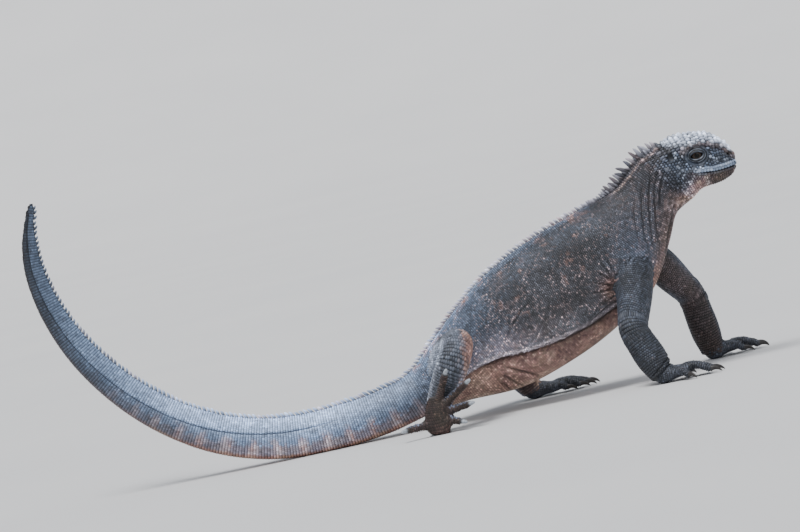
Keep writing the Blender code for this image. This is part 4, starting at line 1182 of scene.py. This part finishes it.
def keeled_shape():
    """A four-cornered scale with a keel that rises to the rear."""
    points = np.array([
        (-0.52, -0.5, -0.3), (0.50, -0.5, -0.3), (0.50, 0.5, -0.3), (-0.52, 0.5, -0.3),
        (-0.47, -0.44, 0.02), (0.46, -0.42, 0.30), (0.46, 0.42, 0.30), (-0.47, 0.44, 0.02),
        (-0.38, 0.0, 0.14), (0.54, 0.0, 0.55)])
    faces = [(0, 3, 2, 1), (0, 1, 5, 4), (1, 2, 6, 9, 5), (2, 3, 7, 6), (3, 0, 4, 8, 7),
             (4, 5, 9, 8), (7, 8, 9, 6)]
    heights = np.array([-0.6, -0.3, -0.3, -0.6, 0.05, 0.95, 0.95, 0.05, 0.2, 1.0])
    return finish_shape("keeled scale", points, faces, heights, False)


def coat_tree():
    """Sets a shape on every root, turned to its out and along vectors and sized by its size."""
    group = bpy.data.node_groups.new("Scale coat", "GeometryNodeTree")
    add_sockets(group, "INPUT", ("Roots", "Geometry"), ("Shape", "Object"), ("Finish", "Material"),
                ("Unevenness", "Float", 0.1), ("Patch size", "Float", BAKE_PATCH),
                ("Seed", "Int", SEED))
    add_sockets(group, "OUTPUT", ("Coat", "Geometry"))
    tree = Tree(group)
    given = tree.add("NodeGroupInput")

    def attribute(name):
        return tree.add("GeometryNodeInputNamedAttribute", {"Name": name}, data_type="FLOAT_VECTOR")[0]

    turn = tree.add("FunctionNodeAxesToRotation",
                    {"Primary Axis": attribute("out"), "Secondary Axis": attribute("along")},
                    primary_axis="Z", secondary_axis="X")[0]
    draw = tree.add("FunctionNodeRandomValue",
                    {"Min": (-1, -1, -1), "Max": (1, 1, 1), "Seed": given["Seed"]},
                    data_type="FLOAT_VECTOR")[0]
    wobble = tree.vector("ADD", tree.vector("SCALE", draw, given["Unevenness"]), (1, 1, 1))
    shape = tree.add("GeometryNodeObjectInfo", {"Object": given["Shape"]})["Geometry"]
    coat = tree.add("GeometryNodeInstanceOnPoints",
                    {"Points": given["Roots"], "Instance": shape, "Rotation": turn,
                     "Scale": tree.vector("MULTIPLY", attribute("size"), wobble)})[0]
    coat = tree.add("GeometryNodeRealizeInstances", {"Geometry": coat})[0]
    patch = tree.vector("SCALE", attribute("patch"), given["Patch size"])
    spot = tree.vector("ADD", attribute("bake"), patch)
    coat = tree.add("GeometryNodeStoreNamedAttribute",
                    {"Geometry": coat, "Name": "OFBake", "Value": spot},
                    data_type="FLOAT2", domain="CORNER")[0]
    coat = tree.add("GeometryNodeSetMaterial", {"Geometry": coat, "Material": given["Finish"]})[0]
    tree.add("NodeGroupOutput", {"Coat": coat})
    return group


def roots_of(spots, along, size, bake, tilt=0.0, out=(math.nan,) * 3):
    """Where some scales stand, with their directions, sizes and places on a map, lean and out."""
    count = len(spots)
    columns = (spots, along, size, bake, np.full(count, tilt), np.broadcast_to(out, (count, 3)))
    return [np.asarray(column, float) for column in columns]


def free_spots(spots, size, taken):
    """True for each root that stands clear of those of the pieces made before it."""
    if not taken:
        return np.ones(len(spots), bool)
    tree = tree_of(np.vstack(taken))
    gaps = np.array([tree.find(p)[2] for p in spots])
    return gaps > CLEARANCE * np.sqrt(size[:, 0] * size[:, 1])


def grown(name, roots, shape, material, trees, specks_and_glints, unevenness, tone_spread):
    """One coat piece: its shape on each root, as a plain mesh with a map named OFBake."""
    skin_tree, coat, taken = trees
    spots, along, size, bake, tilt, own_out = (np.concatenate(column) for column in zip(*roots))
    found = [skin_tree.find_nearest(Vector(p) * MM) for p in spots]
    place_on, out = np.array([f[0] for f in found]) / MM, np.array([f[1] for f in found])
    given = ~np.isnan(own_out[:, 0])
    chosen = (np.linalg.norm(place_on - spots, axis=1) < SKIN_REACH) | given
    chosen &= ~((place_on[:, 2] < FLOOR_REACH) & (out[:, 2] < DOWNWARD))
    chosen &= free_spots(place_on, size, taken) | given
    out = np.where(given[:, None], own_out, out)
    spots, along, size, bake, tilt, out = (v[chosen] for v in (place_on, along, size, bake, tilt, out))
    if not given.any():
        taken.append(spots)
    along = unit(along - out * np.sum(along * out, axis=1)[:, None])
    lean = unit(out + along * tilt[:, None])
    along = unit(along - lean * np.sum(along * lean, axis=1)[:, None])
    draw = np.random.default_rng(SEED + len(spots))
    marks, tone = looks(spots)
    tone += draw.normal(0, tone_spread, len(spots)).clip(-1, 1.2)
    # Pale specks and tints, mostly the hide's own; on the neck they are painted highlights.
    if specks_and_glints is not None:
        chance, strength, ruddy, light = specks_and_glints(spots)
        hit = draw.random(len(spots)) < chance
        strength = strength * draw.uniform(0.3, 1.0, len(spots)) ** 1.3 * hit
        marks[:, 1] = np.maximum(marks[:, 1], strength * ruddy)
        marks[:, 2] = np.maximum(marks[:, 2], strength * light)
        tone += 0.2 * strength
    bake = bake - bake.min(0)
    bake = 0.01 + 0.98 * bake / np.maximum(bake.max(0), 1e-6)
    mesh = bpy.data.meshes.new(name)
    mesh.from_pydata((spots * MM).tolist(), [], [])
    store_values(mesh, out=lean, along=along, size=size * MM, bake=np.pad(bake, ((0, 0), (0, 1))),
                 marks=marks, tone=tone)
    piece = place(name, mesh)
    layer = piece.modifiers.new("coat", "NODES")
    layer.node_group = coat
    values = {"Shape": shape, "Finish": material, "Unevenness": unevenness, "Patch size": BAKE_PATCH}
    for item in coat.interface.items_tree:
        if item.name in values:
            layer[item.identifier] = values[item.name]
    mesh = finish_mesh(piece).data
    mesh.materials.clear()
    mesh.materials.append(material)
    mesh.polygons.foreach_set("material_index", np.zeros(len(mesh.polygons), np.int32))
    lift_to(mesh, LOWEST_SCALE)
    for extra in ("out", "along", "size", "bake", "patch"):
        if extra in mesh.attributes:
            mesh.attributes.remove(mesh.attributes[extra])
    return dress(piece, "hide")


def ring_roots(form, start, end, pitch, around, height, reach=math.pi, tilt=0.0, fill=1.06,
               overlap=1.0, choose=None, map_row=0):
    """Rows of scales round a form, each row half a scale on from the one before."""
    stations = form.stations(start, end, pitch)
    fine = np.linspace(-reach, reach, 181)
    lead = 0 if reach == math.pi else 0.25
    columns, count = [], 1
    for number, (at, step) in enumerate(zip(stations, np.gradient(stations) / 2)):
        run = run_of(form.point(at, fine))
        fitting = run[-1] / (around(at) if callable(around) else around)
        if abs(fitting / count - 1) > 0.09:
            count = max(3, round(fitting))
        wide = run[-1] / count
        angles = np.interp((np.arange(count) + 0.5 * (number % 2) + lead) * wide, run, fine)
        here = form.point(at, angles)
        travel = form.point(min(at + step, form.last), angles) - form.point(max(at - step, 0), angles)
        long = np.linalg.norm(travel, axis=1)
        tall = height * np.sqrt(np.maximum(long, 0.3) * wide)
        if form is BODY:
            tall = tall * smoothness(here, angles)
        size = np.column_stack([long * fill, np.full(count, wide * fill * overlap), tall])
        spot = np.column_stack([np.full(count, at + map_row), angles])
        columns.append((here, unit(travel), size, spot))
    columns = [np.concatenate(v) for v in zip(*columns)]
    if choose is not None:
        chosen = choose(columns[0], columns[3])
        columns = [v[chosen] for v in columns]
    return [roots_of(*columns, tilt)]


def smoothness(spots, angles):
    """How much of its height a trunk scale keeps: little on the belly and on the flank's fold."""
    fold = path_distance(spots, FLANK_FOLD)[2]
    turn = np.abs(angles)
    side = (turn > 1.0) & (spots[:, 0] < 168) & (spots[:, 0] > 8)
    chin = (spots[:, 0] > 175) * ease(turn, 1.9, 2.5)
    return 1 - np.maximum(side * np.maximum(0.65 * ease(fold, 0.2, -0.6), 0.75 * bump(fold, 0.3, 1.2)),
                          0.5 * chin)


def digit_roots(limb):
    """Bands of scales round each digit."""
    count, roots = DIGIT_BANDS, []
    for number, (line, radii, normal) in enumerate(limb.digits):
        run, ways = run_of(line), unit(np.gradient(line, axis=0))
        for step, reach in enumerate(np.arange(1.5, run[-1] - 0.3, BAND_PITCH)):
            centre, way = (np.array([np.interp(reach, run, row) for row in v.T]) for v in (line, ways))
            radius = np.interp(reach, run, radii)
            side, up = side_and_up(way, normal)
            turns = (np.arange(count) + 0.5 * (step % 2)) / count * 2 * math.pi
            shift = up * np.cos(turns)[:, None] * 0.94 + side * np.sin(turns)[:, None]
            size = (1.5, 2 * math.pi * radius / count * 1.16, 0.95)
            spot = np.column_stack([0 * turns + 14.5 + number * 3 + reach / 12, turns - math.pi])
            roots.append(roots_of(centre + shift * radius, np.tile(way, (count, 1)),
                                  np.tile(size, (count, 1)), spot))
    return roots


def clear_of_features(spots, bake):
    """True where a head scale may stand: off the mouth, lids, ears and nostrils."""
    clear = (side_gap(spots, NOSTRIL) > 1.8) & (path_distance(spots, MOUTH)[0] > 0.8)
    beside = (lid_ring(spots) > 1.1) & (side_gap(spots, EAR, 0.8) > EAR_RADIUS * 0.8)
    return clear & (beside | (np.abs(bake[:, 1]) < 0.9))


def head_roots(scales):
    """Single scales of x, z and size, on both sides of the head."""
    roots = []
    for side in SIDES:
        for x, z, size in scales:
            spot, at, angle = head_spot(x, z, side)
            ahead, _, _ = head_spot(x - 1.0, z, side)
            roots.append(roots_of([spot], [unit(ahead - spot)], [size], [(at, angle)]))
    return roots


def lip_roots():
    """The shields along both lips, from the nose to the corner of the mouth."""
    return head_roots([(*on_mouth(share, offset), size) for offset, first, size in LIP_SCALES
                       for share in np.linspace(first, 0.95, 13)])


def jowl_roots():
    """The large rounded scales at the corner of the jaw."""
    return head_roots([(x, z, (wide, wide * 0.92, tall)) for x, z, wide, tall in JOWL_SCALES])


# The jowl's large scales: x, z, width, height. The lips' rows: offset, first share, size.
JOWL_SCALES = [(202.6, 141.4, 4.0, 1.6), (208.5, 136.0, 3.2, 1.2), (213.0, 138.5, 2.6, 1.0),
               (216.0, 134.2, 2.4, 1.0), (209.8, 142.2, 2.6, 1.0), (205.6, 131.8, 2.8, 1.0),
               (198.6, 136.8, 2.4, 0.9), (220.5, 131.8, 2.4, 0.9)]
LIP_SCALES = [(1.25, 0.0, (2.4, 2.2, 0.8)), (3.15, 0.12, (2.4, 2.0, 0.75)),
              (-1.15, 0.0, (2.4, 1.7, 0.7))]


HEAD_ROWS, HEAD_ANGLES = np.meshgrid(np.linspace(0, 9, 181), np.linspace(0.1, 3.0, 117), indexing="ij")
HEAD_GRID = BODY.point(HEAD_ROWS, HEAD_ANGLES)


def head_spot(x, z, side):
    """The head's surface at a given x and z on one side: point, row and angle."""
    miss = (HEAD_GRID[..., 0] - x) ** 2 + (HEAD_GRID[..., 2] - z) ** 2
    best = np.unravel_index(miss.argmin(), miss.shape)
    sense = side * math.copysign(1, HEAD_GRID[best][1])
    return HEAD_GRID[best] * (1, sense, 1), HEAD_ROWS[best], HEAD_ANGLES[best] * sense


def trunk_speckle(spots):
    """The chance and strength of a light speck: most on the flank, few by the shoulder and neck."""
    form, at, angle, _, _ = PLACES.find(spots)
    flank = ease(np.abs(angle), 0.2, 0.5) * span(at, 9.8, 11.6, 14.4, 15.8) * ease(
        path_distance(spots, FLANK_FOLD)[2], 0.5, 3)
    shoulder = bump(spots[:, 0], 158, 14) * bump(spots[:, 2], 88, 20)
    chance = 0.02 + 0.34 * flank * ease(cloud(spots, 7.0, 31), 0.2, 0.65) * (1 - 0.85 * shoulder)
    return chance * (form == 0), 0.2 + 0.6 * cloud(spots, 5.0, 33), 0.85, 0.26


def neck_glints(spots):
    """Painted highlights: light specks in rows on the neck's folds, where its small scales catch the
    light.
    """
    return 0.10 + 0.18 * cloud(spots, 4.0, 37), 0.36, 0.8, 0.45


def limb_speckle(spots):
    return 0.02, 0.35, 0.6, 0.5


def crest_tint(spots):
    """Every spine is a little paler than the hide: ruddy on the nape, bluish on the tail."""
    at = PLACES.find(spots)[1]
    tail, nape = ease(at, 15, 18), ease(at, 10.4, 9.8)
    ruddy = 0.38 + 0.35 * ease(cloud(spots, 7.0, 15), 0.5, 0.7) - 0.35 * tail - 0.2 * nape
    return 1.0 - 0.45 * nape, 1.0, ruddy, 0.42 + 0.13 * (1 - nape) - 0.33 * tail


# Crest


NAPE_CREST = (20, 6.9, 10.1, 4.4, 4.9, 0.02)  # its lengths: at the ends, and added in the middle
BACK_CREST = (64, 10.2, 15.9, 4.0, 3.6, 0.22)
TAIL_CREST = (104, 16.02, 32.0, 4.6, 2.6, 0.50)


def crest_roots():
    """The crest's spines: tall on the nape, then short on the back and saw-like on the tail."""
    draw, roots = np.random.default_rng(SEED), []

    def add(at, length, lean, chord, thick, sway=0.0):
        spot = BODY.point(at, 0.0) + (0, sway, 0)
        run = unit(BODY.point(at + 0.03, 0.0) - BODY.point(at - 0.03, 0.0))
        out = unit(BODY.frame(at)[1])
        out = unit(unit(out - run * (out @ run)) + (0, sway * 0.25, 0))
        roots.append(roots_of([spot], [run], [(chord, thick, length)], [(at, sway * 0.2)], lean, out))

    count, first, last, short, rise, lean = NAPE_CREST
    for i, at in enumerate(np.linspace(first, last, count)):
        share = min(1, 1.04 * i / (count - 1)) ** 0.85
        length = (short + rise * math.sin(math.pi * share) ** 0.8) * draw.uniform(0.86, 1.08)
        add(at, length, lean + draw.uniform(-0.16, 0.2), 2.6 + length * 0.11, 1.8 + length * 0.07,
            draw.uniform(-0.4, 0.4))
        if i < count - 1:
            between = at + (last - first) / (count - 1) * 0.5
            for side in SIDES:
                add(between, length * draw.uniform(0.35, 0.62), lean + draw.uniform(-0.1, 0.3),
                    2.2, 1.5, side * draw.uniform(0.5, 1.1))
    for count, first, last, long, short, lean in (BACK_CREST, TAIL_CREST):
        stations = BODY.stations(first, last, 0.5)
        for share in np.linspace(0, 1, count):
            length = (long + (short - long) * share) * draw.uniform(0.88, 1.12)
            add(stations[round(share * (len(stations) - 1))], length, lean, 1.8 + length * 0.22,
                1.3 + length * 0.10)
    return roots


# Pieces with a shape of their own


def lids(side, material):
    """The lids: a bowl of ringed folds round an almond opening, its rim turned in to the eye."""
    centre = EYE * (1, side, 1) - (0, 0.6 * side, 0)
    turns = circle(72)
    c, s = np.cos(turns), np.sin(turns)
    slit_x = c * EYE_SLIT[0] / 2
    slit_z = np.sign(s) * np.abs(s) ** 1.25 * EYE_SLIT[1] / 2 + 0.05 * slit_x
    loop, folds = [], []

    def add(blend, fold, height):
        """One ring, from 0 at the opening to 1 at the edge. Its height comes from dome and ball."""
        x = slit_x * (1 - blend) + c * LIDS[1] * LID_EDGE * blend
        z = slit_z * (1 - blend) + s * LIDS[2] * LID_EDGE * blend
        dome = LIDS[0] * np.sqrt(np.clip(1 - (x / LIDS[1]) ** 2 - (z / LIDS[2]) ** 2, 0, 1))
        ball = np.sqrt(np.clip(EYE_RADIUS**2 - x**2 - z**2, 0, None))
        loop.append(centre + np.column_stack([x, side * height(dome, ball), z]))
        folds.append(fold)

    for reach in np.linspace(0, 1, 40):
        fold = math.cos((reach - 0.10) * 2 * math.pi * 2.6)
        lift, rim = ease(reach, 0.0, 0.2), 0.20 * bump(reach, 0.05, 0.05)
        add(reach**0.9, fold,
            lambda dome, ball: (dome + LID_FOLD * fold) * lift + (ball + 0.9) * (1 - lift) + rim)
    for reach in (0.9, 0.5):
        add(reach, -1, lambda dome, ball: dome - LID_THICKNESS - reach)
    add(0.0, -1, lambda dome, ball: np.minimum(dome - LID_THICKNESS, 0.2 + ball))
    name = f"eyelids_{SIDES[side]}"
    mesh = mesh_of(name, np.concatenate(loop), ring_faces(len(loop), len(turns), closed=True))
    fold = np.repeat(folds, len(turns))
    # Tone and height follow the folds: painted light on their crests and painted shade in their
    # troughs; the lids are darker overall.
    mark(mesh, fold * 0.62 - 1.1)
    store_values(mesh, crown=0.52 + 0.45 * fold)
    return place(name, mesh, material)


def eyeball(side, material):
    centre, store = EYE * (1, side, 1), ([], [])
    rings = centre + ball_rings(np.linspace(0, math.pi, 26)[1:-1], 40, *[EYE_RADIUS] * 3)
    add_rings(store, rings, centre + (0, EYE_RADIUS, 0), centre - (0, EYE_RADIUS, 0))
    name = f"eyeball_{SIDES[side]}"
    mesh = mesh_of(name, *store)
    return place(name, mesh, material)


def claw_rings(line, normal, floor):
    """A hooked claw that leaves the digit's end, as rings and its tip. A folded one is stouter."""
    thick, hooked = (1, 1) if floor else (FOLDED_CLAW, FOLDED_BEND)
    radius, bend = CLAW_RADIUS * thick, CLAW_TURN * hooked
    run = unit(line[-1] - line[-3])
    side, up = side_and_up(run, normal)
    heading = CLAW_RISE + (math.asin(max(-0.9, min(0.9, -(run @ normal)))) if floor else 0)
    steps, rings, centre = 16, [], line[-1] - run * CLAW_ROOT
    turns = circle(14)[:, None]
    for share in np.arange(steps) / steps:
        angle, middle = heading - bend * share, heading - bend * (share + 0.5 / steps)
        over = up * math.cos(angle) - run * math.sin(angle)
        size = radius * (1 - share) ** 0.6 * (1 - 0.12 * share)
        rings.append(centre + size * (over * np.cos(turns) * 1.15 + side * np.sin(turns) * 0.88))
        step = run * math.cos(middle) + up * math.sin(middle)
        centre = centre + step * (CLAW_LENGTH + CLAW_ROOT) / steps
    return np.array(rings), centre


def claws(limb, material):
    store, reach = ([], []), []
    for line, _, normal in limb.digits:
        rings, tip = claw_rings(line, normal, limb.floor)
        add_rings(store, rings, None, tip)
        reach += [*np.repeat(np.linspace(0, 1, len(rings)), rings.shape[1]), 1.0]
    name = f"claws_{limb.name}_{limb.side}"
    mesh = mesh_of(name, *store)
    lift_to(mesh, LOWEST_CLAW)
    store_values(mesh, reach=reach, pale_horn=np.full(len(reach), 0.0 if limb.floor else 0.8))
    made = place(name, mesh, material)
    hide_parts(*[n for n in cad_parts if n.startswith(f"{limb.name}_{limb.side}_claw")])
    return made


# Stage, lights and camera


def stage(material):
    """A pale floor that curves up into a low wall all round, far from the animal."""
    profile = [(3000, 0), (5600, 0), (6600, 40), (7600, 190), (8500, 480), (9300, 960), (9900, 1600),
               (10200, 2300)]
    around = 96
    points = [(0.0, 0.0, 0.0)] + [(r * math.cos(a), r * math.sin(a), z) for r, z in profile
                                  for a in circle(around)]
    faces = [(0, 1 + j, 1 + (j + 1) % around) for j in range(around)]
    faces += [face[::-1] for face in ring_faces(len(profile), around, 1)]
    mesh = bpy.data.meshes.new("floor")
    mesh.from_pydata((np.array(points) * MM).tolist(), [], faces)
    mesh.shade_smooth()
    place("floor", mesh, material)


def floor_material():
    made, tree, shader = new_material("Studio floor")
    tree.fill(shader, {"Base Color": tree.mix(tree.noise(3.0, 3.0), *FLOOR), "Roughness": 0.75,
                       "Specular IOR Level": 0.2})
    return made


def soft_sun(name, direction, strength, width, colour):
    """A wide soft light from far away, so that the floor is lit evenly."""
    light = bpy.data.lights.new(name, "SUN")
    light.energy, light.angle, light.color = strength, math.radians(width), colour
    made = place(name, light)
    made.rotation_mode = "QUATERNION"
    made.rotation_quaternion = Vector(direction).to_track_quat("Z", "Y")


def lights():
    world = bpy.data.worlds.new("Studio")
    bpy.context.scene.world = world
    world.use_nodes = True
    Tree(world.node_tree).fill(world.node_tree.nodes["Background"],
                               {"Color": (0.86, 0.92, 1.0, 1), "Strength": 0.60})
    soft_sun("Overhead", (-0.25, -0.30, 1.0), 3.4, 26, (1.0, 0.99, 0.98))
    soft_sun("Front", (0.35, -1.0, 0.55), 0.5, 40, (1.0, 0.97, 0.94))


def camera():
    right = Vector((math.cos(VIEW_ROLL), 0, -math.sin(VIEW_ROLL)))
    level_up = Vector((math.sin(VIEW_ROLL), 0, math.cos(VIEW_ROLL)))
    ahead = Vector((0, math.cos(VIEW_RISE), 0)) - level_up * math.sin(VIEW_RISE)
    up = level_up * math.cos(VIEW_RISE) + Vector((0, math.sin(VIEW_RISE), 0))
    lens = bpy.data.cameras.new("Camera")
    lens.sensor_width, lens.lens = SENSOR, SENSOR * VIEW_DISTANCE / VIEW_WIDTH
    lens.clip_start, lens.clip_end = 0.1, 100
    made = place("Camera", lens)
    turn = Matrix((right, up, -ahead)).transposed().to_4x4()
    made.matrix_world = Matrix.Translation(VIEW_TARGET - ahead * VIEW_DISTANCE) @ turn
    bpy.context.scene.camera = made


def dress(obj, slot, *nodes):
    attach(obj, "root")
    if nodes:
        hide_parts(*nodes)
    return obj


def coat_pieces(skin, finish, crest_finish):
    """All that grows on the skin. Each piece keeps clear of those before it, but for the crest."""
    trees = (BVHTree.FromObject(skin, bpy.context.evaluated_depsgraph_get()), coat_tree(), [])
    bead = ring_shape("bead", 6, [(-0.30, 0.55, 0), (0.16, 0.45, 0.02), (0.40, 0.20, 0.06)])
    band = ring_shape("band", 6, [(-0.30, 0.54, -0.02), (0.20, 0.47, 0.03), (0.42, 0.22, 0.14)])
    cone = ring_shape("cone", 7, [(-0.35, 0.58, 0), (0.10, 0.52, 0), (0.45, 0.32, 0.04),
                                  (0.66, 0.12, 0.06)])
    shield = ring_shape("shield", 8, [(-0.5, 0.53, 0), (0.12, 0.49, 0), (0.34, 0.30, 0)])
    spine = ring_shape("spine", 8, [(-0.12, 0.50, 0), (0.10, 0.48, 0), (0.38, 0.43, 0.03),
                                    (0.66, 0.35, 0.12), (0.88, 0.21, 0.26)], tip=(0.36, 0, 1.0))
    keeled = keeled_shape()

    def grow(name, shape, specks_and_glints, unevenness, spread, roots):
        grown(name, roots, shape, crest_finish if shape is spine else finish, trees, specks_and_glints,
              unevenness, spread)

    grow("scales_lips", shield, None, 0.06, 0.15, lip_roots())
    grow("scales_jowl", cone, None, 0.1, 0.2, jowl_roots())
    grow("scales_crown", cone, None, 0.3, 0.45, ring_roots(
        BODY, 1.0, 7.1, 2.7, lambda at: 3.3 - 0.13 * at, 0.9, reach=1.05, choose=clear_of_features))
    grow("scales_cheeks", bead, None, 0.3, 0.6, ring_roots(
        BODY, 0.5, 7.8, 1.95, 2.0, 0.9, choose=clear_of_features))
    for limb in LIMBS:
        palm, loft = limb.palm, limb.loft
        palm_roots = ring_roots(palm, 0.2, palm.last, 1.5, 1.6, 0.5 if limb.floor else 0.2, map_row=9)
        limb_roots = ring_roots(loft, 0.12, loft.last, 1.8, 1.75, 0.7, tilt=0.14, overlap=1.14)
        grow(f"scales_{limb.name}_{limb.side}", band, limb_speckle, 0.13, 0.38,
             digit_roots(limb) + palm_roots + limb_roots)
    for part, start, end, pitch in (("neck", 7.6, 10.2, 1.32), ("chest", 10.2, 11.6, 1.3),
                                    ("flank", 11.6, 12.6, 1.3), ("belly", 12.6, 13.6, 1.3),
                                    ("hips", 13.6, 16.0, 1.45)):
        grow(f"scales_{part}", bead, neck_glints if part == "neck" else trunk_speckle, 0.12, 0.42,
             ring_roots(BODY, start, end, pitch, 1.36, 0.62))
    for part, start, end, height in (("near", 16.05, 21.6, 0.5), ("far", 21.6, 32.9, 0.3)):
        grow(f"scales_tail_{part}", keeled, None, 0.04, 0.2, ring_roots(
            BODY, start, end, 1.9, lambda at: 1.75 - 0.035 * (at - 16), height, fill=1.02))
    grow("crest", spine, crest_tint, 0.05, 0.15, crest_roots())
    for shape in (bead, band, cone, shield, spine, keeled):
        bpy.data.objects.remove(shape)


def main():
    camera()
    lights()
    stage(floor_material())
    group = hide_group()
    # The skin between scales is given a low height, so it is painted darker: painted shade between the
    # scales.
    skin_finish = hide_material("Skin between scales", group, 1.0, 1500.0, 0.0002, bare=0.32)
    scale_finish = hide_material("Scales", group, 0.5, 2600.0, 0.00008)
    crest_finish = hide_material("Crest", group, 0.4, 1800.0, 0.00008, tip_darkening=True)
    horn, eye = claw_material(), eye_material()

    skin = make_skin()
    points = coordinates(skin.data)
    # The skin between the crown's scales is painted darker still: painted shade between them.
    mark(skin.data, -0.9 * (points[:, 0] > 190) * ease(path_distance(points, BROW)[2], 0, 2))
    skin.data.materials.append(skin_finish)
    dress(skin, "hide", *FLESH)
    for side in SIDES:
        dress(lids(side, scale_finish), "hide")
        dress(eyeball(side, eye), "eye", f"eye_{SIDES[side]}")
    for limb in LIMBS:
        dress(claws(limb, horn), "claw")
    coat_pieces(skin, scale_finish, crest_finish)


main()
